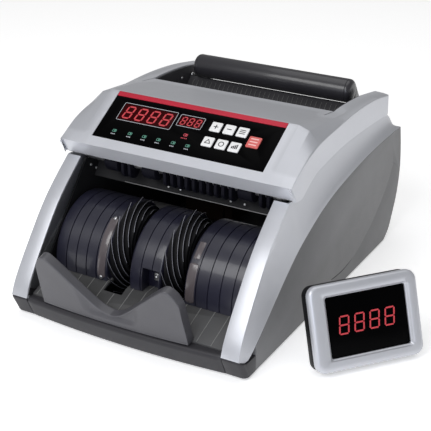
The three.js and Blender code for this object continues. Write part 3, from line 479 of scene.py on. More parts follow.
def head_height(y):
    if y <= PANEL_FRONT[0]:
        return between(y, LIP_TOP[0], PANEL_FRONT[0], LIP_TOP[1], PANEL_FRONT[1])
    if y <= PEAK[0]:
        return PANEL_FRONT[1] + (y - PANEL_FRONT[0]) * math.tan(RISE)
    return PEAK[1] + (y - PEAK[0]) * (DECK_REAR[1] - PEAK[1]) / (DECK_REAR[0] - PEAK[0])


# ------------------------------ silver covers
def shoulder(y):
    """One side's section across the cover at y, from the inner edge out and down to the seam."""
    outer_x = between(y, -56, ARCH_REAR_Y, 114, 108.6)
    outer_z = arch_top(y)
    over_head = y <= DECK_REAR[0]
    rise = head_height(y) - outer_z if over_head else 1.6
    facet = 3.5 * (y - LIP_TOP[0]) / (PEAK[0] - LIP_TOP[0]) if y <= PEAK[0] else 0.25 * rise
    inner_z = outer_z + max(rise, 0.02)
    crease_z = max(inner_z - facet, outer_z + 0.01) if over_head else outer_z + 0.9
    foot_x = max(between(y, -60, -20, 113.6, 109), 108.4)
    if y < LIP_BOTTOM[0]:
        foot_z = between(y, LIP_TOP[0], LIP_BOTTOM[0], LIP_TOP[1] - 0.05, LIP_BOTTOM[1])
    else:
        foot_z = arch_foot(y)
    return [(ARCH_INNER, y, inner_z), (ARCH_INNER + 9.6, y, crease_z), (outer_x, y, outer_z),
            (foot_x, y, min(foot_z, outer_z - 0.02))]


def top_cover():
    """Head and arches as one bent sheet, its panel window left out, with a slit beside each arch."""
    window = (PANEL_FRONT[0], PEAK[0] - 0.1)
    stations = [LIP_TOP[0], *spread(*window, 10), PEAK[0] + 0.3, *spread(PEAK[0] + 4, DECK_REAR[0], 8)]
    radii = [0.3, 0.6, 1.2]
    head_rows = []
    for y in stations:
        inner, *rest = shoulder(y)
        side = rounded([(ARCH_INNER - 6, y, inner[2]), inner, *rest], radii)
        left = [(-x, yy, z) for x, yy, z in reversed(side)]
        middle_part = [(x, y, inner[2]) for x in spread(-PANEL_HALF, PANEL_HALF, 6)]
        head_rows.append([*left, *middle_part, *side])
    lip = [(x, LIP_BOTTOM[0], LIP_BOTTOM[1]) for x, _, _ in head_rows[0]]
    arch_rows = []
    for y in [*spread(DECK_REAR[0], ARCH_REAR_Y - 6, 14), ARCH_REAR_Y - 3, ARCH_REAR_Y]:
        section = shoulder(min(y, ARCH_REAR_Y))
        drop = (section[0][0], section[0][1], section[0][2] - 5)
        arch_rows.append(rounded([drop, *section], [1.0, *radii[1:]]))
    arch = grid(arch_rows)
    points, faces = grid([lip, *head_rows])
    open_faces = [face for face in faces if not (
        all(abs(points[i][0]) < PANEL_HALF + 0.01 for i in face)
        and all(window[0] - 0.01 < points[i][1] < window[1] + 0.01 for i in face)
        and all(points[i][2] > LIP_TOP[1] + 1 for i in face))]
    sheet = [(points, open_faces), arch, mirrored(arch)]
    slits = [block(about(s * ARCH_INNER, 0.5), (23.5, DECK_REAR[0] + 3), (148, 172)) for s in (-1, 1)]
    piece("silver_top_cover", sheet, SILVER, stands_for="top_cover", shell=2.3,
          cuts=slits, union=True, half=HALF_WIDTH, edge=0.45, steps=3)


POST_LINE = spline([POST_FOOT, (-157.6, 35.5), (-139.5, 60.3), (-110, 95), POST_TOP])


def foot_height(y):
    """Underside of a post's foot, sloping down to its heel."""
    return between(y, POST_FOOT[0], FOOT_HEEL[0], POST_FOOT[1], FOOT_HEEL[1])


def frame_edge(s):
    """Crease and belt line points that belong together: s is 0 at the foot, 1 at the top, 2 at the rear."""
    if s <= 1:
        y, z = POST_LINE[round(s * (len(POST_LINE) - 1))]
        belt_y = -160 + (-62 + 160) * s
        belt_z = max(belt_line(belt_y) + 0.15, foot_height(belt_y))
        return (112.4 - 2.4 * s, y, z), (HALF_WIDTH - 2.2 * (1 - s) ** 6, belt_y, belt_z)
    t = s - 1
    y = POST_TOP[0] + (158 - POST_TOP[0]) * t
    belt_y = -62 + (159.4 + 62) * t
    fall = 17.4 * max(y - 141, 0) / 18.5
    z = between(t, 0, 0.08, POST_TOP[1], arch_foot(y) - 0.5) if t < 0.08 else arch_foot(y) - 0.5 - fall
    return (between(t, 0, 0.2, 110, 108), y, z), (HALF_WIDTH, belt_y, belt_line(belt_y) + 0.15)


def side_frame():
    """Curved front post with its crease, running on into the flared skirt under the arch."""
    face_rows, skirt_rows = [], []
    for s in [0, 0.02, 0.05, *spread(0.1, 1, 16), *spread(1.02, 2, 36)]:
        crease, belt = map(Vector, frame_edge(s))
        row = []
        for k in range(13):
            t = k / 12
            point = crease.lerp(belt, t)
            point.x = belt.x - (belt.x - crease.x) * (1 - t ** (2.2 if s > 1 else 1.6))
            row.append(tuple(point))
        skirt_rows.append(row)
        if s <= 1:
            across = (POST_INNER, (POST_INNER + crease.x) / 2, crease.x)
            face_rows.append([(x, crease.y, crease.z) for x in across])
    heel = [(x, *FOOT_HEEL) for x, _, _ in face_rows[0]]
    low_skirt = [tuple(Vector(heel[-1]).lerp(Vector(skirt_rows[0][-1]), k / 12)) for k in range(13)]
    parts = [grid([heel, *face_rows]), grid([low_skirt, *skirt_rows])]
    for name, flip in SIDES:
        piece(f"silver_{name}_side_frame", [flip(part) for part in parts], SILVER,
              stands_for=f"{name}_side_frame", shell=1.8, edge=0.6, steps=3)


top_cover()
side_frame()


# ------------------------------ dark base
GROOVE = [(148, 80.7), (130.8, 58.6), (103.5, 38.1), (69.7, 21.3), (36, 15.2), (7.5, 16.7)]


def side_panel():
    """Grey panel with a curved step that fades out, a painted shadow line lying in the step."""
    front = CORNER_BACK + 0.2
    belt = [(y, belt_line(y) - 0.15) for y in spread(front, 160, 60)]
    outline = [(front, BASE_Z), *spline(REAR_BULGE, 24), *belt[::-1], (front, 17)]
    skin = prism(outline, HALF_WIDTH - 3.2, HALF_WIDTH)
    line = spline(GROOVE, 40)
    rings, groove_shadow_strip = [], []
    for i, (y, z) in enumerate(line):
        before, after = line[max(i - 1, 0)], line[min(i + 1, len(line) - 1)]
        heading = Vector((after[0] - before[0], after[1] - before[1])).normalized()
        away = Vector((-heading.y, heading.x))
        share = i / (len(line) - 1)
        step = HALF_WIDTH - 0.3 - 1.5 * math.sin(math.pi * min(share * 1.15 + 0.12, 1)) ** 1.2
        near, far = Vector((y, z)) + away * 1.1, Vector((y, z)) + away * 12
        rings.append([(HALF_WIDTH + 1, y, z), (step, y, z), (step, near.x, near.y),
                      (HALF_WIDTH + 0.02, far.x, far.y), (HALF_WIDTH + 1, far.x, far.y)])
        # Dark strip on the floor of the step: painted shadow in the crease.
        groove_shadow_strip.append([(step - 0.2, y, z), (step + 0.06, y, z), (step + 0.06, near.x, near.y),
                    (step - 0.2, near.x, near.y)])
    for name, flip in SIDES:
        piece(f"grey_{name}_side_panel", [flip(skin)], SIDE_GREY, stands_for=f"{name}_side_panel",
              cuts=[flip(tube(rings))], edge=0.7, steps=3,
              extra=[([flip(tube(groove_shadow_strip))], DARK_PRINT_AND_SHADOW, 0)])
        piece(f"grey_{name}_front_corner", [flip(front_corner())], CHARCOAL,
              edge=0.3)


def front_corner():
    """Rounded corner of the base under the post's foot, leaning out like the apron."""
    radius = 5.0
    start = HALF_WIDTH - radius
    turn = [start + radius * math.sin(math.radians(a)) for a in spread(0, 90, 9)]
    rings = []
    for x in [POST_INNER + 0.5, 104, *turn]:
        back = radius - math.sqrt(radius ** 2 - max(x - start, 0) ** 2)
        fall = 0.53 * back
        front = rounded([(0, -146, BASE_Z), (0, -155 + back, BASE_Z), (0, -163.2 + back, 19.4 - fall),
                         (0, -162.8 + back, 20.9 - fall), (0, -155.2, 16.6), (0, CORNER_BACK, 16.2)],
                        [0.8, 2, 0.8, 1], 3)
        rings.append([(x, y, z) for _, y, z in [*front, (0, CORNER_BACK, BASE_Z)]])
    return tube(rings)


APRON_HALF = 96.1


def bow(x):
    """How far the apron bulges forward at x."""
    return 5 * (1 - (x / 97) ** 2)


def front_apron():
    rings = []
    for x in spread(-APRON_HALF, APRON_HALF, 40):
        b = bow(x)
        front = rounded([(0, -151, BASE_Z), (0, -155 - b, BASE_Z), (0, -162.8 - b, 19), (0, -161 - b, 22.2),
                         (0, -155.6, 22.2), (0, -155.4, 17), (0, -151, 13)], [0.8, 4, 2.4, 0.5, 0.5], 4)
        rings.append([(x, y, z) for _, y, z in front])
    piece("front_apron_shell", [tube(rings)], CHARCOAL, stands_for="front_apron",
          edge=0.3)


FLOOR_RIB = ((-0.45, -0.2), (-0.2, 0.42), (0.2, 0.42), (0.45, -0.2))


def stacker_floor():
    """Sloping pocket floor with fine ribs, slotted under both wheels; the ribs' pale colour is a painted
    highlight.
    """
    top = [FLOOR_FRONT, FLOOR_CREST, (-30, FLOOR_CREST[1])]
    deep = 2.4
    half = POST_INNER - 0.5
    sheet = prism([*top, (-30, FLOOR_CREST[1] - deep), (FLOOR_CREST[0] + 0.4, FLOOR_CREST[1] - deep),
                   (FLOOR_FRONT[0], FLOOR_FRONT[1] - deep - 0.3)], -half, half)
    slots = [block((s * WHEEL_X - 9.2, s * WHEEL_X + 9.2), (-133, -33.5), (18, 42)) for s in (-1, 1)]
    ribs = []
    pitch = 13.4
    for k in range(-7, 8):
        x = k * pitch + 2
        if abs(x) > half - 2:
            continue
        blocked = abs(abs(x) - WHEEL_X) < 9.8
        path = [FLOOR_FRONT, (-134, 31.7)] if blocked else top
        for (y0, z0), (y1, z1) in zip(path, path[1:]):
            ends = ((y0 + 0.3, z0 + 0.1), (y1, z1))
            ribs.append(tube([[(x + u, y, z + v) for u, v in FLOOR_RIB] for y, z in ends]))
    piece("ribbed_stacker_floor", [sheet], FLOOR_GREY, stands_for="stacker_floor",
          cuts=slots, edge=0.3, extra=[(ribs, RIB_HIGHLIGHT_PALE, 0)])


PLATE_THICK = 9.0
PLATE_RIM = 1.5


def stop_plate():
    """Two-peaked plate: bowed like the apron, scooped back between two feet, with a thick rounded rim."""
    top_line = along([(0, 10.5), (7, 12.3), (15.3, 17.5), (35.5, 35.4), (52, 50), (59.4, 53.9),
                      (66, 49.3), (70, 41)])

    def scoop(x, z):
        """How far the middle lies behind the two feet, deepest just above the ledge."""
        edge = between(z, 4, 26, 27, 33) + max(z - 26, 0) ** 1.7 * 0.11
        depth = between(z, 42, 18, 0, 2.6)
        across = between(abs(x), edge - 9, edge, 1, 0)
        return depth * across * across * (3 - 2 * across) * between(z, 5, 9, 0, 1)

    def section(x):
        top = top_line(abs(x)) if abs(x) <= 70 else between(abs(x), 70, 72, 41, 1)
        shift = 2.6 * (x / 72) ** 2 - 0.6
        face = [(scoop(x, (top - PLATE_RIM) * t), (top - PLATE_RIM) * t) for t in spread(0, 1, 30)]
        curve = arc((PLATE_RIM, 0), PLATE_RIM, 165, 90, 5)
        curve += arc((PLATE_THICK - PLATE_RIM, 0), PLATE_RIM, 90, 0, 5)
        rim = [(u, top - PLATE_RIM + v) for u, v in curve]
        return [(x, y + shift, z) for y, z in [*face, *rim, (PLATE_THICK, 0)]]

    columns = [*spread(0, 58, 58), *spread(58.5, 70, 23), 70.4, 70.8, 71.2, 71.6, 72]
    rings = [section(x) for x in [*(-x for x in reversed(columns[1:])), *columns]]
    piece("two_peak_stop_plate", [tube(rings)], STOP_GREY, stands_for="note_stop_plate",
          place=turned(MACHINE, (-6, -164.4, 22.8), "X", 15), edge=0, sharp=48)


side_panel()
front_apron()
stacker_floor()
stop_plate()


# ------------------------------ stacker pocket
def drum(name, x, grooves, cuts=None, extra=()):
    """A curved cover with fine turned grooves and soft shoulders."""
    front = DRUM[0] - math.sqrt(DRUM_RADIUS ** 2 - 4.6 ** 2)
    soft = [(0, 2.4), (0.3, 1.3), (0.9, 0.5), (1.7, 0.1), (2.6, 0)]
    stations = [(x[0] + a, b) for a, b in soft] + [(x[1] - a, b) for a, b in reversed(soft)]
    for g in grooves:
        stations += [(g - 0.55, 0), (g - 0.25, 0.9), (g + 0.25, 0.9), (g + 0.55, 0)]
    rings = []
    for at, inset in sorted(stations):
        ring = [(front + inset, FLOOR_CREST[1] + 0.3)]
        ring += arc(DRUM, DRUM_RADIUS - inset, 180, 52, 40)
        ring += [(-33 - inset, 62), (-31 - inset, FLOOR_CREST[1] + 0.3)]
        rings.append([(at, y, z) for y, z in ring])
    piece(f"grooved_{name}_cover", [tube(rings)], DRUM_BLACK, stands_for=f"{name}_cover",
          edge=0, sharp=50, cuts=cuts, extra=extra)


def drum_strip(x, start, end, lift):
    """A strip that follows the drum's curve, with rounded ends."""
    rings = []
    for t in spread(0, 1, 30):
        near_end = min(t, 1 - t) * 30
        half = (x[1] - x[0]) / 2 * min(1, 0.45 + 0.55 * math.sqrt(min(near_end, 1)))
        mid = (x[0] + x[1]) / 2
        section = [(mid - half, 0), (mid - half + 0.5, lift), (mid + half - 0.5, lift), (mid + half, 0)]
        angle = start + (end - start) * t
        rings.append([on_circle(u, DRUM_RADIUS - 0.3 + v, angle, DRUM) for u, v in section])
    return tube(rings)


def dome(at, direction, radius):
    """A small rounded screw head standing on a surface."""
    out = Vector(direction).normalized()
    side = out.orthogonal().normalized()
    up = out.cross(side)
    rings = []
    for lift, share in ((0, 1), (0.35, 0.96), (0.6, 0.75), (0.72, 0.4), (0.75, 0.05)):
        centre = Vector(at) + out * lift * radius
        rings.append([tuple(centre + side * u + up * v) for u, v in circle((0, 0), radius * share, 16)])
    return tube(rings)


def on_drum(x, degrees, lift=0.4):
    """A point just off the drum and the direction that faces away from it."""
    return on_circle(x, DRUM_RADIUS + lift, degrees, DRUM), on_circle(0, 1, degrees)


drum("left_drum", (-93.5, -38.4), [-81.4, -71.0, -60.3, -49.9],
     extra=[([drum_strip((-48.6, -40.2), 183, 118, 0.9)], TINTED, 0.2),
            ([dome(*on_drum(-44.4, 182), 1.9), dome(*on_drum(-44.4, 119), 1.9)], STEEL, 0)])
drum("centre_drum", (-15.8, 15.8), [-4.4, 6.4], cuts=[block((-3, 13.6), (-130, -112), (34, 57))],
     extra=[([block((3.2, 7.6), (-113.5, -111.5), (43, 50)), dome((5.4, -113.6, 46.5), (0, -1, 0.4), 1.3)],
             STEEL, 0.3)])
drum("right_drum", (38.4, 93.5), [49.9, 61.3, 72.8, 84.2],
     extra=[([drum_strip((39.9, 48.7), 183, 143, 0.9)], TINTED, 0.2),
            ([drum_strip((41.2, 47.6), 139, 120, 0.5)], TINTED, 0.2)])

WHEEL_RADIUS = 45.4
WHEEL_HUB = 17.0
WHEEL_HALF = 6.5
FINGERS = 15
TIP_ANGLE = 96                       # degrees at which the first finger's tip stands, near the top
FINGER_SWEEP = 150                   # degrees of turn from a finger's tip to its root
FINGER_SLANT = 80                    # degrees from the tip to where a finger is full width
FINGER_FLICK = 5.5                   # how far a tip stands out
ROOT_SINK = 0.6                      # how far a root lies inside the hub


def finger_radius(turn):
    """A finger flicks out at its tip and falls towards its root."""
    flick = FINGER_FLICK * (1 - (1 - min(turn / 45, 1)) ** 2)
    fall = WHEEL_RADIUS - FINGER_FLICK - WHEEL_HUB + ROOT_SINK
    return WHEEL_RADIUS - flick - fall * (turn / FINGER_SWEEP) ** 2


def finger_edge(turn):
    """The slanted edge of a finger, which starts as a point at the wheel's left side."""
    return -WHEEL_HALF + 0.6 + (2 * WHEEL_HALF - 0.6) * min(turn / FINGER_SLANT, 1)


def painted_highlight_strip(first):
    """Pale line along a finger's slanted edge: a painted highlight where the edge catches the light."""
    rings = []
    for turn in spread(0, FINGER_SLANT, 24):
        low, high = finger_radius(turn) - 0.1, finger_radius(turn) + 0.05
        left, right = finger_edge(turn) - 0.3, finger_edge(turn) + 0.03
        section = ((left, low), (right, low), (right, high), (left, high))
        rings.append([on_circle(x, radius, first + turn) for x, radius in section])
    return tube(rings)


def spiral_finger(first):
    """One long finger, pointed at its left side, its tip at an angle of first degrees."""
    rings = []
    for turn in spread(0, FINGER_SWEEP, 40):
        outer, right = finger_radius(turn), finger_edge(turn)
        inner = outer - 0.7 - 0.9 * turn / FINGER_SWEEP
        section = ((-WHEEL_HALF, inner), (right, inner), (right, outer), (-WHEEL_HALF, outer))
        rings.append([on_circle(x, radius, first + turn) for x, radius in section])
    return tube(rings)


def stacker_wheel(name, x):
    """Hub with nested spiral fingers that catch the notes, with a painted highlight strip along each
    finger's slanted edge.
    """
    hub = turned_solid([(-WHEEL_HALF, WHEEL_HUB - 1), (-WHEEL_HALF + 0.6, WHEEL_HUB),
                        (WHEEL_HALF - 0.6, WHEEL_HUB), (WHEEL_HALF, WHEEL_HUB - 1)], (0, 0), 48)
    angles = [TIP_ANGLE + 360 * n / FINGERS for n in range(FINGERS)]
    fingers = [spiral_finger(angle) for angle in angles]
    piece(f"spiral_{name}", [hub, *fingers], VANE, body="stacker", stands_for=name,
          place=MACHINE @ Matrix.Translation((x, *STACKER)), edge=0.16, steps=1,
          extra=[([painted_highlight_strip(angle) for angle in angles], EDGE_HIGHLIGHT_PALE, 0)])


stacker_wheel("left_stacker_wheel", -WHEEL_X)
stacker_wheel("right_stacker_wheel", WHEEL_X)

NARROW_RIBS = [-56, -49, *(-12.6 + 7.2 * k for k in range(10)), 80.6, 87.8]
WIDE_ROLLERS = [(-68, 14), (-29, 14), (66, 14)]


def guide_comb():
    """Crossbar under the head with its row of curved ribs."""
    bar = prism([(-69.4, 132.4), (-69.4, 135.2), (-44, 138.2), (-44, 135.2)], -95.8, 95.8)
    rib = [(-69.4, 134), *arc((-61.5, 116), 8.2, 180, 330, 14), (-47, 136)]
    ribs = [prism(rib, x - 1.5, x + 1.5) for x in NARROW_RIBS]
    piece("guide_ribs", [bar, *ribs], ROLLER, stands_for="guide_comb", edge=0.5)


def rollers():
    """Steel shafts with soft tyres, two of them with a belt pulley at the right end."""
    def tyre(middle_x, width, radius):
        a, b = middle_x - width / 2, middle_x + width / 2
        return turned_solid([(a, radius - 1.4), (a + 0.5, radius - 0.4), (a + 1.4, radius),
                             (b - 1.4, radius), (b - 0.5, radius - 0.4), (b, radius - 1.4)], (0, 0), 48)

    sets = (("counting_roller", "counter", COUNTER, WIDE_ROLLERS, 10.5, 100.5, None),
            ("feed_roller", "feed", (40, 86), [(-30, 18), (30, 18)], 15, 107, 12),
            ("pickup_roller", "pickup", (73, 97.5), [(-30, 14), (30, 14)], 12, 107, 8))
    for name, body, at, tyres, radius, half, pulley in sets:
        shaft = turned_solid([(-half, 3.5), (-half + 0.5, 4), (half - 0.5, 4), (half, 3.5)], (0, 0), 32)
        metal = [shaft]
        if pulley:
            rim = pulley + 0.8
            metal.append(turned_solid([(101, rim), (101.7, rim), (101.9, pulley), (105.1, pulley),
                                       (105.3, rim), (106, rim)], (0, 0), 40))
        piece(f"turned_{name}", metal, STEEL, body=body, stands_for=name,
              place=MACHINE @ Matrix.Translation((0, *at)), edge=0,
              extra=[([tyre(m, w, radius) for m, w in tyres], ROLLER if body == "counter" else RUBBER, 0)])


def pocket_details():
    """The thin bracket, the bright pins above it and the screws on the inner wall."""
    rod_line = turned_solid([(-62, 0.45), (85, 0.45)], (-57.2, 99.5), 10)
    pins = [dome((x, -58, 104.7), (0, -1, 0.3), 1.1) for x in (-15.5, -3.4, 46.7, 60.1)]
    screws = [dome((-96.9, y, z), (1, 0, 0), 1.3) for y, z in ((-52, 117), (-60, 110), (-52, 104))]
    piece("bracket_rod_and_screws", [rod_line, *pins, *screws], STEEL, edge=0)


guide_comb()
rollers()
pocket_details()


# ------------------------------ hopper and handle
PLATE_TOP = (107.9, 147.9)
PLATE_FOOT = (57.0, 97.0)
PLATE_DEEP = 2.6


def hopper():
    """Sloping plate with fine ribs and two roller slots, between two dark walls."""
    d = PLATE_DEEP / math.sqrt(2)
    sheet = prism([PLATE_FOOT, (PLATE_FOOT[0] + d, PLATE_FOOT[1] - d), (PLATE_TOP[0] + d, PLATE_TOP[1] - d),
                   PLATE_TOP], -91.2, 91.2)
    slots = [block(about(x, 9), (51, 87), (85, 122)) for x in (-30, 30)]
    rib = ((-0.35, -0.1), (-0.15, 0.5), (0.15, 0.5), (0.35, -0.1))
    ribs = []
    for x in range(-85, 86, 5):
        low = 31.5 if abs(abs(x) - 30) < 10 else 2
        ribs.append(tube([[(x + u, PLATE_FOOT[0] + s - v, PLATE_FOOT[1] + s + v) for u, v in rib]
                          for s in (low, 47, 48)]))
    piece("ribbed_hopper_plate", [sheet], CHARCOAL, stands_for="hopper_plate",
          cuts=slots, extra=[(ribs, TICK_GREY, 0)])
    front = DECK_REAR[0] + 0.6
    top = [(y, arch_top(y) + 0.3) for y in spread(front, 136, 20)]
    inner = ARCH_INNER - 2.3
    outline = [*reversed(top), (front, 102.2), (98, 102.2), (120, 128.5), (136, 132)]
    wall = prism(outline, inner, ARCH_INNER - 0.3)
    screws = [dome((inner, 111.9, 147.4), (-1, 0, 0), 2.4), dome((inner, 91.7, 149.3), (-1, 0, 0), 1.3)]
    for name, flip in SIDES:
        piece(f"dark_{name}_hopper_wall", [flip(wall)], CHARCOAL, stands_for=f"{name}_hopper_wall",
              edge=0.4, extra=[([flip(s) for s in screws], STEEL, 0)])


def carrying_handle():
    """Round grip with a fine ring near each end, on two arms with pivot pins."""
    half = 84.0
    end = ((0, 5), (0.3, 3.4), (1.2, 1.6), (2.6, 0.5), (4.4, 0), (4.6, 0.45), (4.9, 0.45), (5.1, 0),
           (half, 0))
    bar = [(x - half, HANDLE_RADIUS - inset) for x, inset in end]
    grip = turned_solid(bar + [(-x, r) for x, r in reversed(bar[:-1])], HANDLE, 64)
    arms = []
    for side in (-1, 1):
        x = sorted((side * 79.4, side * 83.4))
        arm = [(HANDLE[0] - 5.6, HANDLE[1] - 7), (HANDLE_PIVOT[0] - 5, HANDLE_PIVOT[1] - 4),
               (HANDLE_PIVOT[0] + 5, HANDLE_PIVOT[1] + 4), (HANDLE[0] + 6.6, HANDLE[1] + 6)]
        pin = sorted((side * 83, side * 93.2))
        arms += [prism(arm, *x), prism(circle(HANDLE_PIVOT, 6.4), *x), prism(circle(HANDLE_PIVOT, 3), *pin)]
    piece("charcoal_carrying_handle", [grip, *arms], HANDLE_GREY, body="handle",
          stands_for="carrying_handle", edge=0.35)


hopper()
carrying_handle()


# ------------------------------ control panel
KEY = 10.0
KEY_COLUMNS = [24, 36.9, 49.6]
KEY_ROWS = [35.05, 18.5]
START_KEY = (63.7, 27.2, 11.5)
COUNT_WINDOW = ((-71.6, -16.6), (22.6, 42.1))
BATCH_WINDOW = ((-13.1, 11), (28.9, 41.4))
LAMP_X = [-66, -49.8, -35.1, -20.7, -5.9, 8.3]
LAMP_Y = 10.1
RED_LAMP = (1.1, 20.6)


def outline_frame(x, y, line, z, corner=1.2):
    """A thin printed frame, as a narrow raised band."""
    outer = rounded_box(x, y, corner, 4)
    inner = rounded_box((x[0] + line, x[1] - line), (y[0] + line, y[1] - line), max(corner - line, 0.1), 4)
    count = len(outer)
    points = [(u, v, w) for w in z for ring in (outer, inner) for u, v in ring]
    faces = []
    for i in range(count):
        j = (i + 1) % count
        p, q, r = count, 2 * count, 3 * count
        faces += [[i, j, j + p, i + p], [i + q, i + r, j + r, j + q], [i, i + q, j + q, j],
                  [i + p, j + p, j + r, i + r]]
    return points, faces


def digit(x, y, width, height, stroke, slant, z):
    """Seven segments of a figure eight, as slim six-sided bars."""
    half = height / 2
    gap = 0.25
    reach = stroke / 2

    def bar(a, b, upright_bar):
        (x0, y0), (x1, y1) = a, b
        if upright_bar:
            low_end, high_end = y0 + gap + reach, y1 - gap - reach
            line = [(x0, y0 + gap), (x0 + reach, low_end), (x0 + reach, high_end), (x0, y1 - gap),
                    (x0 - reach, high_end), (x0 - reach, low_end)]
        else:
            near_end, far_end = x0 + gap + reach, x1 - gap - reach
            line = [(x0 + gap, y0), (near_end, y0 - reach), (far_end, y0 - reach), (x1 - gap, y0),
                    (far_end, y0 + reach), (near_end, y0 + reach)]
        return prism([(u + slant * (v - y), v) for u, v in line], *z, "z")

    left, right = x + reach, x + width - reach
    low, mid, high = y + reach, y + half, y + height - reach
    levels = [bar((left, v), (right, v), False) for v in (low, mid, high)]
    posts = [bar((u, a), (u, b), True) for u in (left, right) for a, b in ((low, mid), (mid, high))]
    return levels + posts


def flat_mark(outline, base=0.5, thick=0.09):
    return prism(outline, base, base + thick, "z")


def band(points, width):
    """A short printed stroke between two points."""
    a, b = map(Vector, points)
    side = (b - a).normalized().orthogonal() * width / 2
    return [tuple(p) for p in (a - side, b - side, b + side, a + side)]


def pictograms():
    """Plain marks for the keys: plus, minus, lines, triangle, ring, steps and bars."""
    ring = circle((0, 0), 2.3, 12)
    triangle = [(-2.6, -1.8), (0, 2.2), (2.6, -1.8)]
    steps = enumerate((-2.2, -0.7, 0.8, 2.3))
    return {
        "key_plus": [band(((-2.2, 0), (2.2, 0)), 0.8), band(((0, -2.2), (0, 2.2)), 0.8)],
        "key_minus": [band(((-2.2, 0), (2.2, 0)), 0.8)],
        "key_mode": [band(((-2.8, v), (2.8, v)), 0.7) for v in (-1.8, 0, 1.8)],
        "key_add": [band(ends, 0.7) for ends in zip(triangle, triangle[1:] + triangle[:1])],
        "key_detect": [band(ends, 0.7) for ends in zip(ring, ring[1:] + ring[:1])],
        "key_batch": [band(((u, -2), (u, 0.4 + 0.8 * k)), 1.0) for k, u in steps],
        "key_start": [band(((-3.6, v), (3.6, v)), 1.1) for v in (-3.1, 0, 3.1)],
    }


def opening(x, y, radius):
    return prism(rounded_box(x, y, radius, 3), -3, 1, "z")


def lamp(x, y):
    """A lamp's raised frame and the small light inside it."""
    return [outline_frame(about(x, 2), about(y, 1.4), 0.5, (-0.15, 0.05), 0.7),
            prism(rounded_box((x - 0.2, x + 1.1), about(y, 0.8), 0.3, 2), -0.15, 0.02, "z")]


def caption(left, low, pitch, count, tall):
    """A row of short bars where a word would be."""
    starts = [left + pitch * k for k in range(count)]
    return [flat_mark(rounded_box((u, u + 1), (low, low + tall), 0.2, 1), -0.12, 0.1) for u in starts]


def panel_overlay():
    """Black overlay with openings for keys and windows, printed frames and captions, and its lamps."""
    half = PANEL_HALF - 0.3
    top = PANEL_LENGTH - 0.2
    sheet = prism([(-half, 0.3), (half, 0.3), (half, top), (-half, top)], -1.8, -0.1, "z")
    reach, start_reach = KEY / 2 + 0.3, START_KEY[2] / 2 + 0.3
    holes = [opening(about(x, reach), about(y, reach), 0.9) for y in KEY_ROWS for x in KEY_COLUMNS]
    holes.append(opening(about(START_KEY[0], start_reach), about(START_KEY[1], start_reach), 1))
    holes += [opening(x, y, 0.8) for x, y in (COUNT_WINDOW, BATCH_WINDOW)]
    frames = [outline_frame(grown(x, 0.2), grown(y, 0.2), 0.42, (-0.15, 0.02))
              for x, y in (COUNT_WINDOW, BATCH_WINDOW)]
    marks = [bar for x in LAMP_X for bar in caption(x - 2, LAMP_Y - 4.1, 1.5, 3, 1.0)]
    lamps = [part for x in LAMP_X for part in lamp(x, LAMP_Y)]
    u, v = RED_LAMP
    red = [*lamp(u, v), *caption(u - 3, v - 4, 1.6, 4, 0.9)]
    piece("black_panel_overlay", [sheet], PANEL_BLACK, stands_for="panel_overlay",
          place=PANEL, cuts=holes, edge=0.15,
          extra=[(frames, MARK_PALE, 0), (marks, MARK_PALE, 0), (lamps, LAMP_GREEN, 0), (red, LAMP_RED, 0)])


def red_trim():
    low, high = PANEL_LENGTH + 0.1, PANEL_LENGTH + TRIM_LENGTH - 0.4
    trim = prism([(low, -1.8), (high, -1.8), (high, 0.3), (low, 0.3)], -PANEL_HALF + 0.3, PANEL_HALF - 0.3)
    piece("red_trim", [trim], TRIM_RED, stands_for="red_trim_bar", place=PANEL, edge=0.6,
          steps=3)


def digit_window(name, window, first, pitch, size, stroke, count):
    """A dark red glass with its row of lit digits just under the surface."""
    x, y = window
    glass = prism(rounded_box(grown(x, -0.3), grown(y, -0.3), 0.7, 3), -6, -0.45, "z")
    base = (y[0] + y[1] - size[1]) / 2
    figures = [bar for k in range(count)
               for bar in digit(first + k * pitch, base, *size, stroke, 0.12, (-0.5, -0.36))]
    piece(f"{name}_window_and_digits", [glass], WINDOW_RED, stands_for=f"{name}_display",
          place=PANEL, edge=0.15, extra=[(figures, DIGIT_RED, 0)])


def keys():
    """Square key caps with softened tops, each riding its own body."""
    icons = pictograms()
    names = (("key_plus", "key_minus", "key_mode"), ("key_add", "key_detect", "key_batch"))
    places = {name: (x, y, KEY) for y, row in zip(KEY_ROWS, names) for x, name in zip(KEY_COLUMNS, row)}
    places["key_start"] = START_KEY
    for name, (x, y, size) in places.items():
        rings = []
        for z, inset in ((-2, 0), (0.1, 0), (0.38, 0.12), (0.5, 0.4)):
            span = about(0, size / 2 - inset)
            rings.append([(u, v, z) for u, v in rounded_box(span, span, 0.9, 4)])
        red_key = name == "key_start"
        marks = [flat_mark(line) for line in icons[name]]
        piece(f"cap_{name}", [tube(rings)], KEY_RED if red_key else KEY_WHITE, body=name, stands_for=name,
              place=PANEL @ Matrix.Translation((x, y, 0)),
              edge=0, sharp=50, extra=[(marks, MARK_ROSE if red_key else DARK_PRINT_AND_SHADOW, 0)])


panel_overlay()
red_trim()
digit_window("count", COUNT_WINDOW, -68.2, 12.76, (8.5, 14.4), 1.5, 4)
digit_window("batch", BATCH_WINDOW, -11.2, 7.1, (5.0, 9.0), 1.0, 3)
keys()


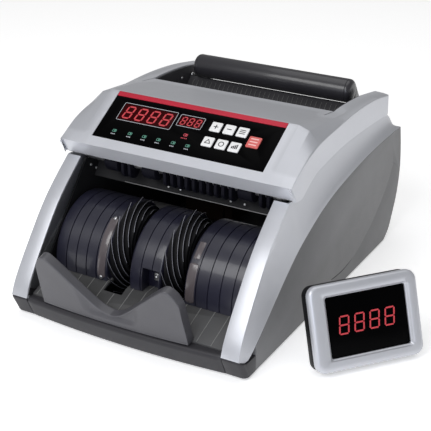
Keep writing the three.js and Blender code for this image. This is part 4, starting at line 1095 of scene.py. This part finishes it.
# ------------------------------ separate counting display
def display_bezel():
    """Silver frame: rounded outside, dished inside, with a window through it."""
    width, height = DISPLAY_SIZE
    section = ((7, 0.4), (6.4, 0), (3.2, 0), (1.7, 0.5), (0.8, 1.4), (0.25, 2.8), (0, 4.6), (0, 8.6),
               (0.35, 10.4), (0.9, 11.6), (1.6, 12.4))
    rings = []
    for y, inset in section:
        x0, x1, z0, z1 = inset, width - inset, inset, height - inset
        if inset > 10:
            share = (inset - 10.4) / 2.0
            x0 = between(share, 0, 1, 12.4, WINDOW_X[0] - 1)
            x1 = between(share, 0, 1, width - 9.0, WINDOW_X[1] + 1)
            z0 = between(share, 0, 1, 8.6, WINDOW_Z[0] - 1)
            z1 = between(share, 0, 1, height - 9.0, WINDOW_Z[1] + 1)
        corner = max(8.5 - 0.62 * inset, 2.2)
        rings.append([(u, y, v) for u, v in rounded_box((x0, x1), (z0, z1), corner, 8)])
    rings += [[(u, y, v) for u, v in rounded_box(WINDOW_X, WINDOW_Z, 2, 8)] for y in (2.4, 7)]
    piece("silver_display_bezel", [grid([*rings, rings[0]], loop=True)], SILVER, body="display",
          stands_for="display_bezel", place=DISPLAY, edge=0, sharp=45)


def display_shell():
    """Black back with vents, a lead socket, two leg lugs and four screws."""
    width, height = DISPLAY_SIZE
    outer = [[(u, y, v) for u, v in rounded_box((i, width - i), (i, height - i), 8, 8)]
             for y, i in ((7.3, 0.8), (16.5, 0.8), (18.2, 1.6), (19, 3.2))]
    socket = block((73.4, 82.6), (12, 20), (7.4, 13.6))
    vents = [block((20 + 4 * k, 21.6 + 4 * k), (17.4, 20), (52, 62)) for k in range(15)]
    lugs = [block(x, (18, 24.4), (40, 46)) for x in ((30, 34), (64, 68))]
    screws = [dome((u, 19, v), (0, 1, 0), 2.0) for u in (10, width - 10) for v in (10, height - 10)]
    piece("black_display_shell", [tube(outer)], BLACK, body="display", stands_for="display_shell",
          place=DISPLAY, cuts=[socket, *vents], edge=0.3,
          extra=[(lugs, BLACK, 0.5), (screws, STEEL, 0)])


def display_window():
    """Dark glass with four lit digits on it."""
    glass = prism(rounded_box(grown(WINDOW_X, -0.3), grown(WINDOW_Z, -0.3), 1.8, 4), 3.4, 5.2, "y")
    figures = []
    for k in range(4):
        flat = digit(23.6 + 13.7 * k, 28.2, 9.2, 15.4, 1.25, 0.115, (0, 0.2))
        figures += [([(u, 3.4 - w, v) for u, v, w in points], faces) for points, faces in flat]
    piece("display_window_and_digits", [glass], GLASS_BLACK, body="display", stands_for="display_module",
          place=DISPLAY, edge=0.3, extra=[(figures, DIGIT_RED, 0)])


def display_leg():
    """Fold-out leg: a hollowed blade on a knuckle with a steel pin."""
    blade = prism(rounded_box((36, 62), (-38.6, 2.4), 3, 6), -1.2, 1.2, "y")
    knuckle = turned_solid([(36, 2), (36.4, 2.4), (61.6, 2.4), (62, 2)], (0, 0), 32)
    pin = turned_solid([(29.6, 1), (29.9, 1.3), (68.1, 1.3), (68.4, 1)], (0, 0), 24)
    hollow = prism(rounded_box((41, 57), (-32, -6), 2, 4), -2, -0.4, "y")
    piece("display_fold_out_leg", [blade], BLACK, body="leg", stands_for="display_leg",
          place=turned(DISPLAY, (0, 21.6, 43), "X", 33), cuts=[hollow], edge=0.4,
          extra=[([knuckle], BLACK, 0), ([pin], STEEL, 0)])


display_bezel()
display_shell()
display_window()
display_leg()


# ------------------------------ looks of the CAD nodes that stay
LOOKS = {
    "bottom_chassis": CHARCOAL, "rear_cover": SIDE_GREY, "stacker_shaft": STEEL, "left_side_plate": BLACK,
    "right_side_plate": BLACK, "sensor_bar": BLACK, "power_inlet": BLACK, "power_switch": BLACK,
    "fuse_holder": BLACK, "display_jack": BLACK, "thickness_knob": BLACK, "main_motor": STEEL,
    "motor_pulley": STEEL, "stacker_motor": STEEL, "stacker_motor_pulley": STEEL, "feed_belt": RUBBER,
    "stacker_belt": RUBBER, "power_transformer": WINDING, "main_board": BOARD, "control_board": BOARD,
    "foot_front_left": RUBBER, "foot_front_right": RUBBER, "foot_rear_left": RUBBER,
    "foot_rear_right": RUBBER,
}
for name, look in LOOKS.items():
    materials = nodes[name].data.materials
    materials.clear()
    materials.append(look)


# ------------------------------ floor, light and camera
EYE = (467.8, -825.7, 501.8)         # the photo's viewpoint in the machine's axes
LENS = 94.3
LOOK_DOWN = 25.12
LOOK_LEFT = 29.6
FLOOR_REACH = 6.0


def plain_floor():
    r = FLOOR_REACH
    mesh = bpy.data.meshes.new("studio_floor")
    mesh.from_pydata([(-r, -r, 0), (r, -r, 0), (r, r, 0), (-r, r, 0)], [], [[0, 1, 2, 3]])
    mesh.materials.append(finish_of("studio_floor", (0.97, 0.97, 0.97), 0.9, mottle=0.0, grain=0.0,
                                    specular=0.1, glow=0.42))
    floor = bpy.data.objects.new("studio_floor", mesh)
    bpy.context.scene.collection.objects.link(floor)


def area_light(name, at, size, power, colour=(1, 1, 1)):
    """A soft rectangle of light, aimed at the middle of the set."""
    low, high = cad_box
    light = bpy.data.lights.new(name, "AREA")
    light.shape = "RECTANGLE"
    light.size, light.size_y = size
    light.energy = power
    light.color = colour
    holder = bpy.data.objects.new(name, light)
    holder.location = at
    holder.rotation_euler = ((low + high) / 2 - Vector(at)).to_track_quat("-Z", "Y").to_euler()
    bpy.context.scene.collection.objects.link(holder)


def studio():
    world = bpy.data.worlds.new("studio")
    world.use_nodes = True
    world.node_tree.nodes["Background"].inputs["Color"].default_value = (1, 1, 1, 1)
    world.node_tree.nodes["Background"].inputs["Strength"].default_value = 0.28
    bpy.context.scene.world = world
    plain_floor()
    area_light("key_light", (-0.25, -1.2, 1.15), (1.1, 0.7), 12)
    area_light("top_light", (0.0, 0.3, 1.7), (1.6, 1.6), 9)
    area_light("front_fill", (0.35, -1.0, 0.4), (0.6, 0.4), 2.6, (0.82, 0.87, 1.0))


def camera():
    lens = bpy.data.cameras.new("photo_view")
    lens.lens = LENS
    lens.sensor_width = 36
    lens.clip_start, lens.clip_end = 0.02, 30
    eye = bpy.data.objects.new("photo_view", lens)
    eye.location = MACHINE @ Vector(EYE)
    eye.rotation_euler = (math.radians(90 - LOOK_DOWN), 0, math.radians(LOOK_LEFT))
    bpy.context.scene.collection.objects.link(eye)
    bpy.context.scene.camera = eye


studio()
camera()
bpy.context.scene.view_settings.view_transform = "Standard"
